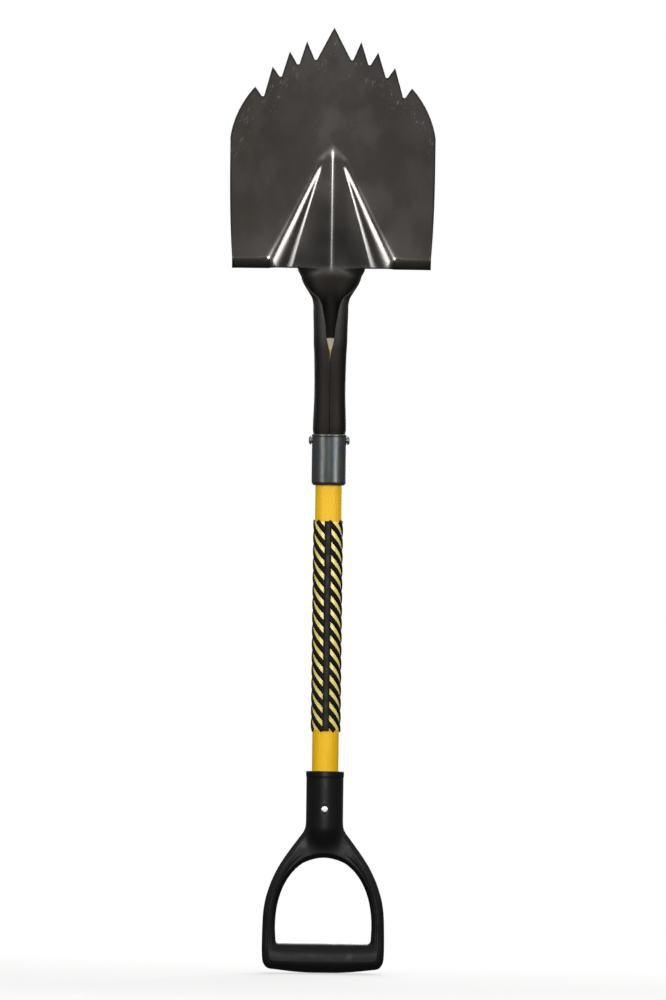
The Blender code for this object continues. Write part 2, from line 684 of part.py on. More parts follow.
def main():
    clear_scene()
    steel = material("lacquered_steel", (0.075, 0.066, 0.056), 0.42, 0.6)
    zinc = material("zinc_plate", (0.42, 0.44, 0.44), 0.3, 1.0)
    yellow = material("yellow_fibreglass", (0.85, 0.50, 0.01), 0.3)
    cream = material("cream_core", (0.68, 0.62, 0.48), 0.7)
    rubber = material("black_rubber", (0.02, 0.02, 0.02), 0.55)
    polymer = material("black_polymer", (0.025, 0.026, 0.026), 0.5)
    aluminium = material("rivet_aluminium", (0.85, 0.85, 0.85), 0.3, 1.0)
    build_blade(steel)
    build_collar(zinc)
    collar_reach = COLLAR_RADIUS + COLLAR_LIP + GAP
    rivet("collar_rivet", "X", COLLAR_RIVET_RADIUS, COLLAR_RIVET_HEAD, collar_reach, COLLAR_RIVET_Z, zinc)
    build_shaft(yellow, cream)
    build_sleeve(rubber)
    build_grip(polymer)
    grip_reach = GRIP_SOCKET_RADIUS + GAP
    rivet("d_grip_rivet", "Y", GRIP_RIVET_RADIUS, GRIP_RIVET_HEAD, grip_reach, GRIP_RIVET_Z, aluminium)


main()
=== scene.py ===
"""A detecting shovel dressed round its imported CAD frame: a serrated pressed-steel blade on a yellow shaft,
with a zinc-plated collar, a ribbed sleeve and a moulded D-grip. Metres, +Z from D-grip to blade tip."""
import logging
import math
from dataclasses import dataclass
from enum import Enum

import bmesh
import bpy
import numpy as np
from mathutils import Matrix, Quaternion, Vector


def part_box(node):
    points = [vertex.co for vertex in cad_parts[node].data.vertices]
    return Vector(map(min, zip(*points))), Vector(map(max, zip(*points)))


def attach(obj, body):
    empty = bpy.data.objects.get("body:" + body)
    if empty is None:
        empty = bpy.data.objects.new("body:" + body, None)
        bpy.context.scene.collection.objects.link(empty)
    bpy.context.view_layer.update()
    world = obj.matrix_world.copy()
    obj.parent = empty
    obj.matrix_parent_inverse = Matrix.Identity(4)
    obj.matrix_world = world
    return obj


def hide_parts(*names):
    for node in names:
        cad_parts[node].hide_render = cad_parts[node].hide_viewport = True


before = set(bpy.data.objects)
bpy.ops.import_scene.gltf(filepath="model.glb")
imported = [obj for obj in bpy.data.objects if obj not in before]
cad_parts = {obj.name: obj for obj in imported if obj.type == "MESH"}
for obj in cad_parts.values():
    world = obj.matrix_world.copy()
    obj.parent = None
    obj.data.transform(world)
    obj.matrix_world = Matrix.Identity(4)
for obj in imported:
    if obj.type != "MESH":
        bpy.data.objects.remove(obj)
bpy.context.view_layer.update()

MM = 0.001
GAP = 0.3 * MM  # between pieces that touch
BODY = "root"  # the shovel has no moving parts
SHAFT_RADIUS = 14.4 * MM
SOCKET_RADIUS = 16 * MM  # to the middle of its sheet
SHARP = 40.0  # degrees past which an edge is shaded sharp
LOG = logging.getLogger("shovel")


# ---------------------------------------------------------------- numbers


def smooth_step(value: np.ndarray, low: float, high: float) -> np.ndarray:
    """0 below low, 1 above high, and smooth between."""
    t = np.clip((value - low) / (high - low), 0, 1)
    return t * t * (3 - 2 * t)


def between(pair: tuple, t: np.ndarray) -> np.ndarray:
    """A value t of the way from the first of a pair to the second."""
    return pair[0] + (pair[1] - pair[0]) * t


def soft_max(a: np.ndarray, b: np.ndarray, softness: np.ndarray) -> np.ndarray:
    """The larger of two values, rounded where they meet."""
    near = np.maximum(softness - np.abs(a - b), 0) / softness
    return np.maximum(a, b) + near * near * softness / 4


def soft_min(a: np.ndarray, b: np.ndarray, softness: float) -> np.ndarray:
    """The smaller of two values, rounded where they meet."""
    return -soft_max(-a, -b, softness)


def eased_table(table: np.ndarray, at: float) -> np.ndarray:
    """Reads a table by a monotone cubic.

    Args:
        table: rows of a place and the values there, by rising place.
        at: the place to read.

    Returns:
        The values at that place.
    """
    places, values = table[:, 0], table[:, 1:]
    at = min(max(at, places[0]), places[-1])
    steps = np.diff(places)[:, None]
    slopes = np.diff(values, axis=0) / steps
    product, total = slopes[:-1] * slopes[1:], slopes[:-1] + slopes[1:]
    inner = np.where(product > 0, 2 * product / np.where(total == 0, 1, total), 0)
    tangents = np.vstack([slopes[:1], inner, slopes[-1:]])
    i = min(max(int(np.searchsorted(places, at)) - 1, 0), len(places) - 2)
    h = steps[i, 0]
    t = (at - places[i]) / h
    return (
        (2 * t**3 - 3 * t**2 + 1) * values[i] + (t**3 - 2 * t**2 + t) * h * tangents[i]
        + (3 * t**2 - 2 * t**3) * values[i + 1] + (t**3 - t**2) * h * tangents[i + 1]
    )


def smooth_through(points: list[tuple], pieces: int) -> list[tuple]:
    """A Catmull-Rom curve through points.

    Args:
        points: the points to pass through.
        pieces: how many pieces lie between each two.

    Returns:
        The curve's points.
    """
    ends = [points[0]] + points + [points[-1]]
    curve = []
    for a, b, c, d in zip(ends, ends[1:], ends[2:], ends[3:]):
        for i in range(pieces):
            t = i / pieces
            weights = (-t + 2 * t**2 - t**3, 2 - 5 * t**2 + 3 * t**3, t + 4 * t**2 - 3 * t**3, t**3 - t**2)
            curve.append(tuple(0.5 * sum(w * v for w, v in zip(weights, four)) for four in zip(a, b, c, d)))
    return curve + [points[-1]]


def rounded(profile: list[tuple], radius: float) -> list[tuple]:
    """Rounds a closed profile's corners.

    Args:
        profile: the corners as (radius, along).
        radius: how far from each corner its curve starts, or less on a short side.

    Returns:
        The rounded profile.
    """
    steps, most = 3, 0.45  # pieces in each curve, and how much of a short side it may take
    made = []
    for i, corner in enumerate(profile):
        here = Vector(corner)
        before, after = Vector(profile[i - 1]) - here, Vector(profile[(i + 1) % len(profile)]) - here
        start = here + before.normalized() * min(radius, before.length * most)
        end = here + after.normalized() * min(radius, after.length * most)
        for s in range(steps + 1):
            t = s / steps
            made.append(tuple(start * (1 - t) ** 2 + here * 2 * t * (1 - t) + end * t * t))
    return made


def middle_z(node: str) -> float:
    """The height of a CAD node's middle."""
    low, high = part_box(node)
    return (low.z + high.z) / 2


# ---------------------------------------------------------------- meshes


def add_piece(name: str, points: np.ndarray, faces: list, sharp: float = SHARP) -> bpy.types.Object:
    """An object from points and faces, at the origin, shaded smooth up to an angle.

    Args:
        name: the piece's name.
        points: its points in the frame.
        faces: its faces as indices of points.
        sharp: the angle in degrees past which an edge is shaded sharp.

    Returns:
        The new object.
    """
    mesh = bpy.data.meshes.new(name)
    mesh.from_pydata(np.asarray(points, float).tolist(), [], [list(map(int, f)) for f in faces])
    mesh.validate()
    mesh.shade_smooth()
    mesh.set_sharp_from_angle(angle=math.radians(sharp))
    obj = bpy.data.objects.new(name, mesh)
    bpy.context.scene.collection.objects.link(obj)
    return obj


def turn_outwards(obj: bpy.types.Object) -> None:
    """Points a closed mesh's faces outwards."""
    bm = bmesh.new()
    bm.from_mesh(obj.data)
    bmesh.ops.recalc_face_normals(bm, faces=bm.faces)
    bm.to_mesh(obj.data)
    bm.free()


def finished(obj: bpy.types.Object) -> bpy.types.Object:
    """Turns an object and its modifiers into a plain mesh of the same name.

    Args:
        obj: the object to settle.

    Returns:
        The same object, with no modifiers.
    """
    graph = bpy.context.evaluated_depsgraph_get()
    graph.update()
    mesh = bpy.data.meshes.new_from_object(obj.evaluated_get(graph), depsgraph=graph)
    obj.modifiers.clear()
    old, obj.data = obj.data, mesh
    bpy.data.meshes.remove(old)
    mesh.name = obj.name
    return obj


class Axis(Enum):
    """The line round which a piece is turned."""

    X = "X"
    Y = "Y"
    Z = "Z"

    def point(self, radius: float, angle: float, along: float) -> tuple:
        """A point at a radius and an angle round this axis."""
        across, up = radius * math.cos(angle), radius * math.sin(angle)
        return {"X": (along, across, up), "Y": (across, along, up), "Z": (across, up, along)}[self.value]


def turned(name: str, profile: list[tuple], axis: Axis = Axis.Z, centre: tuple = (0, 0, 0),
           segments: int = 96, tube: bool = False) -> bpy.types.Object:
    """A turned piece.

    Args:
        name: the piece's name.
        profile: (radius, along) pairs. A solid's starts and ends on the axis, a tube's closes on itself.
        axis: the axis it turns round.
        centre: a point on that axis.
        segments: sides round the axis.
        tube: whether the profile is a closed ring.

    Returns:
        The new object.
    """
    points, rings, faces = [], [], []
    for radius, along in profile:
        pole = radius < 1e-7
        rings.append((len(points), pole))
        for i in range(1 if pole else segments):
            points.append(Vector(centre) + Vector(axis.point(radius, 2 * math.pi * i / segments, along)))
    for (low, low_pole), (high, high_pole) in zip(rings, rings[1:] + (rings[:1] if tube else [])):
        for i in range(segments):
            j = (i + 1) % segments
            a = [low] if low_pole else [low + i, low + j]
            b = [high] if high_pole else [high + j, high + i]
            if len(a) + len(b) > 2:
                faces.append(a + b)
    obj = add_piece(name, np.array([list(p) for p in points]), faces)
    turn_outwards(obj)
    return obj


def bored(obj: bpy.types.Object, axis: Axis, radius: float, z: float) -> bpy.types.Object:
    """Drills a hole through the shaft's line.

    Args:
        obj: the piece to drill.
        axis: the hole's direction.
        radius: the hole's radius.
        z: the hole's height.

    Returns:
        The drilled piece.
    """
    reach = 60 * MM  # past both sides of any piece
    drill = turned("drill", [(0, -reach), (radius, -reach), (radius, reach), (0, reach)], axis, (0, 0, z), 32)
    cut = obj.modifiers.new("hole", "BOOLEAN")
    cut.object, cut.operation, cut.solver = drill, "DIFFERENCE", "EXACT"
    finished(obj)
    bpy.data.objects.remove(drill)
    obj.data.set_sharp_from_angle(angle=math.radians(SHARP))
    return obj


# ---------------------------------------------------------------- finishes


def linear(colour: str) -> tuple:
    """An sRGB hex colour as linear RGBA."""
    parts = [int(colour[i:i + 2], 16) / 255 for i in (1, 3, 5)]
    return (*(c / 12.92 if c <= 0.04045 else ((c + 0.055) / 1.055) ** 2.4 for c in parts), 1.0)


def add_node(tree: bpy.types.NodeTree, kind: str, links: dict | None = None, values: dict | None = None,
             **settings: object) -> bpy.types.Node:
    """Adds a node.

    Args:
        tree: the tree it goes in.
        kind: its type.
        links: sockets that feed its inputs, by input.
        values: values of its inputs, by input.
        settings: its own properties.

    Returns:
        The new node.
    """
    made = tree.nodes.new(kind)
    for key, value in settings.items():
        setattr(made, key, value)
    for key, value in (values or {}).items():
        made.inputs[key].default_value = value
    for key, source in (links or {}).items():
        tree.links.new(source, made.inputs[key])
    return made


def worked(tree: bpy.types.NodeTree, kind: str, first: object, second: object) -> object:
    """A sum of two sockets, or of a socket and a number.

    Args:
        tree: the tree it goes in.
        kind: the Math node's operation.
        first: the first socket.
        second: the second socket, or a float.

    Returns:
        The result's socket.
    """
    if isinstance(second, float):
        return add_node(tree, "ShaderNodeMath", {0: first}, {1: second}, operation=kind).outputs[0]
    return add_node(tree, "ShaderNodeMath", {0: first, 1: second}, operation=kind).outputs[0]


class Pattern:
    """A material's tree while its pattern is drawn, with the steps that patterns share."""

    def __init__(self, tree: bpy.types.NodeTree) -> None:
        """Starts from the object's own coordinates, in metres."""
        self.tree = tree
        self.place = add_node(tree, "ShaderNodeTexCoord").outputs["Object"]

    def noise(self, size: tuple, detail: float = 2.0, turn: tuple = (0, 0, 0),
              distortion: float = 0.0) -> object:
        """Noise whose grains are about a size in metres along each axis.

        Args:
            size: the grain along X, Y and Z.
            detail: octaves.
            turn: how the grain is turned, in radians.
            distortion: how far it is pulled about.

        Returns:
            The noise's socket, from 0 to 1 round 0.5.
        """
        turned_place = add_node(self.tree, "ShaderNodeMapping", {"Vector": self.place}, {"Rotation": turn},
                                vector_type="TEXTURE").outputs[0]
        scaled = add_node(self.tree, "ShaderNodeVectorMath", {0: turned_place},
                          {1: tuple(1 / s for s in size)}, operation="MULTIPLY").outputs[0]
        return add_node(self.tree, "ShaderNodeTexNoise", {"Vector": scaled},
                        {"Scale": 1.0, "Detail": detail, "Distortion": distortion}).outputs[0]

    def ranged(self, source: object, low: float, high: float, start: float = 0.0, end: float = 1.0) -> object:
        """A value stretched from low and high to start and end, and held there."""
        return add_node(self.tree, "ShaderNodeMapRange", {"Value": source},
                        {"From Min": low, "From Max": high, "To Min": start, "To Max": end},
                        interpolation_type="SMOOTHSTEP").outputs[0]

    def times(self, a: object, b: object) -> object:
        """A value multiplied by another, or by a number."""
        return worked(self.tree, "MULTIPLY", a, b)

    def plus(self, a: object, b: object) -> object:
        """Two values added."""
        return worked(self.tree, "ADD", a, b)

    def attribute(self, name: str) -> object:
        """A number that the mesh carries."""
        return add_node(self.tree, "ShaderNodeAttribute", attribute_name=name).outputs["Fac"]

    def axis(self, name: str) -> object:
        """The place along X, Y or Z in metres."""
        return add_node(self.tree, "ShaderNodeSeparateXYZ", {0: self.place}).outputs[name]

    def mixed(self, factor: object, a: object, b: object) -> object:
        """Two colours mixed.

        Args:
            factor: how much of the second.
            a: the first colour, as a hex string or a socket.
            b: the second, likewise.

        Returns:
            The mix's socket.
        """
        links, values = {0: factor}, {}
        for key, colour in ((6, a), (7, b)):
            if isinstance(colour, str):
                values[key] = linear(colour)
            else:
                links[key] = colour
        return add_node(self.tree, "ShaderNodeMix", links, values, data_type="RGBA").outputs[2]

    def bump(self, height: object, depth: float, before: object | None = None) -> object:
        """A bump.

        Args:
            height: what raises the surface, from 0 to 1.
            depth: how far 1 stands above 0, in metres.
            before: a bump that this one lies on.

        Returns:
            The normal's socket.
        """
        links = {"Height": height}
        if before is not None:
            links["Normal"] = before
        return add_node(self.tree, "ShaderNodeBump", links, {"Distance": depth, "Strength": 1.0}).outputs[0]


@dataclass(frozen=True)
class Finish:
    """One finish: its plain values, to which a subclass adds its pattern."""

    name: str
    colour: str
    roughness: float
    metallic: float = 0.0
    ior: float = 1.5
    coat: float = 0.0
    coat_roughness: float = 0.1

    def draw(self, pattern: Pattern) -> dict:
        """Draws the pattern, which a plain finish hasn't got.

        Args:
            pattern: the material's tree.

        Returns:
            The sockets that feed the shader, by its input.
        """
        return {}

    def material(self) -> bpy.types.Material:
        """Makes the material, or finds the one already made."""
        made = bpy.data.materials.get(self.name)
        if made:
            return made
        made = bpy.data.materials.new(self.name)
        made.use_nodes = True
        tree = made.node_tree
        shader = tree.nodes["Principled BSDF"]
        shader.inputs["Base Color"].default_value = linear(self.colour)
        shader.inputs["Roughness"].default_value = self.roughness
        shader.inputs["Metallic"].default_value = self.metallic
        shader.inputs["IOR"].default_value = self.ior
        shader.inputs["Coat Weight"].default_value = self.coat
        shader.inputs["Coat Roughness"].default_value = self.coat_roughness
        for name, source in self.draw(Pattern(tree)).items():
            tree.links.new(source, shader.inputs[name])
        return made


@dataclass(frozen=True)
class LacqueredSteel(Finish):
    """Carbon steel, pressed and dipped in a thin dark lacquer: satin, a little warm and cloudy, with painted
    shade along its edges, in its hollow and down its throat, scuffed behind the ground teeth and chipped to
    bare steel at their points."""

    mottle: str = "#2a2724"
    scuff: str = "#6a6761"
    bare: str = "#a5a39d"
    # painted shade: the near-black mixed into the hollow, the throat and the edges
    painted_shade: str = "#100e0c"
    throat: tuple = (0.774, 0.756)  # over these heights painted shade darkens the lacquer towards the socket, where it also turns dull
    edge: tuple = (3 * MM, 1.2 * MM)  # how far in from the edge painted shade darkens it
    scuffed: tuple = (2 * MM, 6 * MM, 14 * MM, 27 * MM)  # where scuffs start, are full, fade and end
    chipped: tuple = (1.1 * MM, 0.1 * MM)

    def draw(self, pattern: Pattern) -> dict:
        """Cloudy lacquer with painted shade in the hollow, down the throat and at the edges, and scuffs by
        the teeth.
        """
        rim, hollow = pattern.attribute("rim_distance"), pattern.attribute("hollow")
        cloud = pattern.noise((38 * MM, 30 * MM, 55 * MM), 3)
        fine = pattern.noise((1.4 * MM,) * 3, 3)
        throat = pattern.ranged(pattern.axis("Z"), *self.throat)
        edge = pattern.ranged(pattern.attribute("edge_distance"), *self.edge)
        base = pattern.mixed(pattern.ranged(cloud, 0.38, 0.66), self.colour, self.mottle)
        base = pattern.mixed(pattern.ranged(fine, 0.35, 0.7, 0, 0.35), base, self.mottle)
        # painted shade: the hollow, the throat towards the socket and the edges are mixed towards near-black
        base = pattern.mixed(pattern.ranged(hollow, 0.1, 1, 0, 0.8), base, self.painted_shade)
        base = pattern.mixed(pattern.times(throat, 0.85), base, self.painted_shade)
        base = pattern.mixed(edge, base, self.painted_shade)
        scratch = pattern.times(
            pattern.ranged(pattern.noise((0.55 * MM, 4 * MM, 7 * MM), 2, (0, 0.35, 0), 0.4), 0.60, 0.68),
            pattern.ranged(pattern.noise((8 * MM, 8 * MM, 9 * MM), 2), 0.46, 0.62))
        start, full, fade, end = self.scuffed
        near_teeth = pattern.times(pattern.ranged(rim, start, full), pattern.ranged(rim, end, fade))
        scuffs = pattern.times(scratch, near_teeth)
        scuffed = pattern.times(scuffs, pattern.ranged(fine, 0.2, 0.8, 0.35, 0.6))
        base = pattern.mixed(scuffed, base, self.scuff)
        chips = pattern.times(pattern.ranged(pattern.noise((0.9 * MM,) * 3, 3), 0.5, 0.62),
                              pattern.ranged(rim, *self.chipped))
        base = pattern.mixed(pattern.ranged(chips, 0, 1, 0, 0.6), base, self.bare)
        rough = pattern.plus(pattern.ranged(fine, 0.3, 0.7, -0.015, 0.025),
                             pattern.ranged(cloud, 0.3, 0.7, self.roughness - 0.03, self.roughness + 0.03))
        rough = pattern.plus(rough, pattern.ranged(scuffs, 0, 1, 0, 0.12))
        for where, more in ((throat, 0.4), (edge, 0.3)):
            rough = pattern.plus(rough, pattern.times(where, more))
        # more metallic where the painted shade lies, so its near-black base darkens the reflections there too
        metal = pattern.ranged(hollow, 0.1, 1, self.metallic, self.metallic + 0.2)
        for where, more in ((throat, 0.35), (edge, 0.4)):
            metal = pattern.plus(metal, pattern.times(where, more))
        peel = pattern.bump(pattern.noise((1.8 * MM,) * 3, 2), 0.006 * MM)
        return {"Base Color": base, "Roughness": rough, "Metallic": metal,
                "Normal": pattern.bump(scuffs, 0.02 * MM, peel)}


@dataclass(frozen=True)
class ZincPlate(Finish):
    """Drawn steel tube with bright zinc plate: a mirror dulled by fine lengthwise draw lines, with the faint
    blue and straw tints of its passivation."""

    cool: str = "#8d98a0"
    straw: str = "#a2a293"

    def draw(self, pattern: Pattern) -> dict:
        """Draw lines and passivation tints."""
        tint = pattern.noise((9 * MM, 9 * MM, 16 * MM), 2, distortion=0.6)
        base = pattern.mixed(pattern.ranged(tint, 0.34, 0.52), self.cool, self.colour)
        lines = pattern.noise((0.5 * MM, 0.5 * MM, 22 * MM), 3)
        dents = pattern.bump(pattern.noise((7 * MM, 7 * MM, 12 * MM), 1), 0.05 * MM)
        return {
            "Base Color": pattern.mixed(pattern.ranged(tint, 0.54, 0.74), base, self.straw),
            "Roughness": pattern.ranged(lines, 0.3, 0.75, self.roughness - 0.05, self.roughness + 0.09),
            "Normal": pattern.bump(lines, 0.008 * MM, dents),
        }


@dataclass(frozen=True)
class Fibreglass(Finish):
    """Pultruded glass fibre in pigmented resin: satin, with faint lengthwise fibres a shade deeper."""

    fibre: str = "#e0a60c"

    def draw(self, pattern: Pattern) -> dict:
        """Lengthwise fibres, drawn about 0.5 mm wide so that they show."""
        fibres = pattern.noise((0.55 * MM, 0.55 * MM, 60 * MM), 3)
        patches = pattern.noise((14 * MM, 14 * MM, 70 * MM), 2)
        base = pattern.mixed(pattern.ranged(fibres, 0.42, 0.78, 0, 0.55), self.colour, self.fibre)
        return {
            "Base Color": pattern.mixed(pattern.ranged(patches, 0.5, 0.8, 0, 0.35), base, self.fibre),
            "Roughness": pattern.ranged(fibres, 0.3, 0.8, self.roughness - 0.03, self.roughness + 0.08),
            "Normal": pattern.bump(fibres, 0.012 * MM),
        }


@dataclass(frozen=True)
class ResinCore(Finish):
    """Sawn glass-resin core: matt cream with the fibres' cut ends as specks."""

    speck: str = "#b9ab80"

    def draw(self, pattern: Pattern) -> dict:
        """Specks about 0.6 mm across."""
        specks = pattern.noise((0.6 * MM,) * 3, 2)
        return {
            "Base Color": pattern.mixed(pattern.ranged(specks, 0.5, 0.72, 0, 0.7), self.colour, self.speck),
            "Normal": pattern.bump(specks, 0.06 * MM),
        }


@dataclass(frozen=True)
class MouldedPolymer(Finish):
    """Injection-moulded plastic or rubber from a spark-eroded tool: an even fine grain, lightly polished
    where hands rub it."""

    worn: str = "#1d1e1e"
    grain: float = 0.45 * MM
    relief: float = 0.03 * MM

    def draw(self, pattern: Pattern) -> dict:
        """Grain, and slightly greyer rubbed patches."""
        grain = pattern.noise((self.grain,) * 3, 2)
        rub = pattern.noise((16 * MM, 16 * MM, 12 * MM), 3)
        rough = pattern.plus(pattern.ranged(rub, 0.4, 0.75, self.roughness + 0.05, self.roughness - 0.07),
                             pattern.ranged(grain, 0.3, 0.7, -0.03, 0.04))
        return {
            "Base Color": pattern.mixed(pattern.ranged(rub, 0.46, 0.74, 0, 0.5), self.colour, self.worn),
            "Roughness": rough,
            "Normal": pattern.bump(grain, self.relief),
        }


@dataclass(frozen=True)
class RivetMetal(Finish):
    """A headed rivet's bright metal, with fine handling marks."""

    dull: str = "#b8bab9"

    def draw(self, pattern: Pattern) -> dict:
        """Fine handling marks."""
        marks = pattern.noise((0.5 * MM,) * 3, 3)
        return {
            "Base Color": pattern.mixed(pattern.ranged(marks, 0.45, 0.7), self.colour, self.dull),
            "Normal": pattern.bump(marks, 0.02 * MM),
        }


BLADE_LACQUER = LacqueredSteel("lacquered_pressed_steel", "#24211e", 0.2, 0.4)
COLLAR_ZINC = ZincPlate("zinc_plated_steel", "#9a9e9c", 0.34, 1.0)
RIVET_ZINC = RivetMetal("zinc_plated_rivet", "#bfc3c2", 0.32, 1.0)
RIVET_ALUMINIUM = RivetMetal("bright_aluminium_rivet", "#f2f2f0", 0.38, 1.0, dull="#dcdddc")
SHAFT_YELLOW = Fibreglass("yellow_pultruded_fibreglass", "#fbc503", 0.45, ior=1.42, coat=0.05,
                          coat_roughness=0.2)
SLEEVE_LEMON = Fibreglass("lemon_sleeve_film", "#ffee86", 0.22, ior=1.5, coat=0.5, coat_roughness=0.08,
                          fibre="#f6e264")
CORE_CREAM = ResinCore("cream_glass_resin", "#f4eed6", 0.62)
SLEEVE_RUBBER = MouldedPolymer("black_moulded_rubber", "#120e08", 0.46, ior=1.52, worn="#26231c",
                               grain=0.6 * MM)
GRIP_POLYMER = MouldedPolymer("black_moulded_polypropylene", "#131414", 0.42, ior=1.49)


def dress(obj: bpy.types.Object, finish: Finish, slot: str | None = None, *nodes: str) -> bpy.types.Object:
    """Gives a made piece its material and its body, and hides the CAD nodes it stands for.

    Args:
        obj: the piece.
        finish: its finish.
        slot: the record's material slot, if one is right; not used.
        nodes: the CAD nodes it replaces.

    Returns:
        The piece.
    """
    obj.data.materials.clear()
    obj.data.materials.append(finish.material())
    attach(obj, BODY)
    if nodes:
        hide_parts(*nodes)
    LOG.info("%s: %d faces, %s", obj.name, len(obj.data.polygons), finish.name)
    return obj


# ---------------------------------------------------------------- blade


@dataclass
class BladeHead:
    """The blade, its frog, steps, throat and socket, pressed from one sheet."""

    name = "pressed_blade"
    sheet: float = 2 * MM
    edge_round: float = 0.55 * MM
    blade_half: float = 112 * MM
    shoulder_half: float = 108.5 * MM
    shoulder_to_mouth: float = 232 * MM
    lift: float = math.radians(12)
    shoulder_dish: float = 9 * MM
    blade_dish: float = 17 * MM
    dish_start: float = 20 * MM  # above the shoulders, where the dish grows from the first to the second
    tip_curl: float = 4 * MM
    side_corner: float = 121.5 * MM
    rim_bow: float = 4.6 * MM
    side_taper: float = 2.6  # the sides draw in mostly near the shoulders
    teeth: int = 4
    first_tooth: float = 29.6 * MM
    tooth_pitch: float = 18.6 * MM
    first_gullet: float = 19.8 * MM
    gullet_pitch: float = 19.1 * MM
    gullet_half: float = 1.4 * MM
    gullet_round: float = 0.6 * MM
    tooth_depth: float = 20.5 * MM
    gullet_extras: tuple = (3.2 * MM, -0.4 * MM, -1.2 * MM, 0.2 * MM)
    centre_tooth_proud: float = 8.6 * MM
    tooth_curve: float = 7.85
    frog_length: float = 128.5 * MM
    wall_top: tuple = (64.5 * MM, 8 * MM)
    wall_foot: tuple = (49 * MM, 7 * MM)
    top_softness: tuple = (15 * MM, 1.8 * MM)  # rounding of the wall's two bends
    foot_softness: tuple = (5 * MM, 0.3 * MM)
    sag: tuple = (0.8 * MM, 0.1 * MM)
    floor_power: float = 2.5
    crease_slope: float = 0.15
    crease_radius: float = 2.5 * MM
    crease_run_out: float = 36 * MM
    hollow_depth: float = 22 * MM  # behind the wings, where the hollow counts as fully hollow
    throat_half: float = 36.8 * MM
    socket_flare: float = 1.1 * MM
    flare_length: float = 45 * MM
    socket_swell: float = 0.5 * MM
    swell_below: float = 91 * MM
    swell_reach: float = 38 * MM
    seam_half_angle: float = math.radians(0.12)
    step_inner: float = 67 * MM
    step_depth: float = 17.5 * MM
    step_pitch: float = math.radians(30)
    step_bend: float = 3 * MM
    ground_width: float = 7 * MM
    ground_depth: float = 1.3 * MM

    # By mm below the shoulder: developed half-width as a share of the socket's, degrees that the half section
    # turns, and how its turning bunches to the edge
    throat_table = np.array((
        (0, 0.742, 7, 1.5), (4.5, 0.765, 52, 1.8), (9, 0.785, 80, 1.9), (17.5, 0.825, 96, 1.5),
        (26, 0.865, 118, 1.2), (34, 0.905, 146, 1.1), (41.5, 0.945, 150, 1.0), (55, 0.985, 158, 1.0),
        (68, 0.99, 164, 1.0), (78, 0.99, 167, 1.0), (86, 1.0, 173, 1.0), (93, 1.0, 178, 1.0),
        (102, 1.0, 179.9, 1.0),
    ))
    throat_length = 92 * MM
    throat_blend = 9 * MM  # over which the throat's first row eases on to the blade's
    throat_columns = 8
    socket_rows = (14, 26, 60)  # inside the collar, above it, and in the throat
    column_foot = (47 * MM, 10.5 * MM)
    column_top = (62.3 * MM, 15 * MM)
    # How finely the columns are split, from the middle out: throat, frog's wall, then wing
    column_splits = (8, 3, 4, 4, 3, 4, 4, 3, 4, 4, 5, 6, 5, 6, 6, 6)
    frog_rows = 84
    rim_rows = 76
    fan = 14 * MM  # the rim's rows start level up to here, so that their columns don't cross

    def __post_init__(self) -> None:
        """Reads the stations along Z from the frame."""
        low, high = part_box("blade")
        self.tip, self.mouth = high.z, low.z
        self.shoulder = self.mouth + self.shoulder_to_mouth
        self.frog_point = self.shoulder + self.frog_length
        self.collar_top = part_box("socket_collar")[1].z
        splits = [np.arange(n) / n + i for i, n in enumerate(self.column_splits)]
        self.columns = np.append(np.concatenate(splits), len(self.column_splits))

    # The rim

    def tooth_tip(self, x: float) -> float:
        """Height of the curve on which the side teeth's tips lie."""
        return self.tip - self.centre_tooth_proud - self.tooth_curve * x * x

    def rim_height(self, x: np.ndarray) -> np.ndarray:
        """Height of the rim's arc between the last tooth and the side corner."""
        last = self.first_tooth + self.tooth_pitch * (self.teeth - 1)
        start = Vector((last, self.tooth_tip(last)))
        end = Vector((self.blade_half, self.tip - self.side_corner))
        chord = end - start
        radius = (chord.length_squared / 4 + self.rim_bow**2) / (2 * self.rim_bow)
        centre = (start + end) / 2 + Vector((chord.y, -chord.x)).normalized() * (radius - self.rim_bow)
        return centre.y + np.sqrt(radius**2 - (x - centre.x) ** 2)

    def rim(self) -> tuple[np.ndarray, np.ndarray]:
        """X and Z of half the toothed rim, at each column."""
        points = [(0, self.tip)]
        for i in range(self.teeth):
            gullet = self.first_gullet + self.gullet_pitch * i
            tooth = self.first_tooth + self.tooth_pitch * i
            floor = self.tooth_tip(gullet) - self.tooth_depth - self.gullet_extras[i]
            points += [(gullet - self.gullet_half, floor), (gullet + self.gullet_half, floor)]
            points.append((tooth, self.tooth_tip(tooth)))
        last = points[-1][0]
        arc = len(points) - 1
        points += [(between((last, self.blade_half), share), 0) for share in (0.35, 0.65, 0.87, 1)]
        along = np.arange(len(points))
        x = np.interp(self.columns, along, [p[0] for p in points])
        z = np.interp(self.columns, along, [p[1] for p in points])
        for i in range(self.teeth):  # a gullet's floor is a shallow curve
            t = self.columns - (3 * i + 1)
            z -= np.where((t > 0) & (t < 1), 4 * t * (1 - t) * self.gullet_round, 0)
        return x, np.where(self.columns > arc, self.rim_height(np.maximum(x, last)), z)

    # The sheet's middle surface above the shoulders

    def wing(self, x: np.ndarray, z: np.ndarray) -> np.ndarray:
        """The dished face."""
        grown = smooth_step(z, self.shoulder + self.dish_start, self.frog_point)
        flat = self.shoulder_dish / self.shoulder_half**2
        full = self.blade_dish / self.blade_half**2
        rise = z - self.frog_point
        curl = self.tip_curl * np.maximum(0, rise / (self.tip - self.frog_point)) ** 2
        return SOCKET_RADIUS + math.tan(self.lift) * rise + between((flat, full), grown) * x * x + curl

    def crease(self, x: np.ndarray, slope: float) -> np.ndarray:
        """How far a floor falls back from the sharp line down its middle."""
        return slope * (np.hypot(x, self.crease_radius) - self.crease_radius)

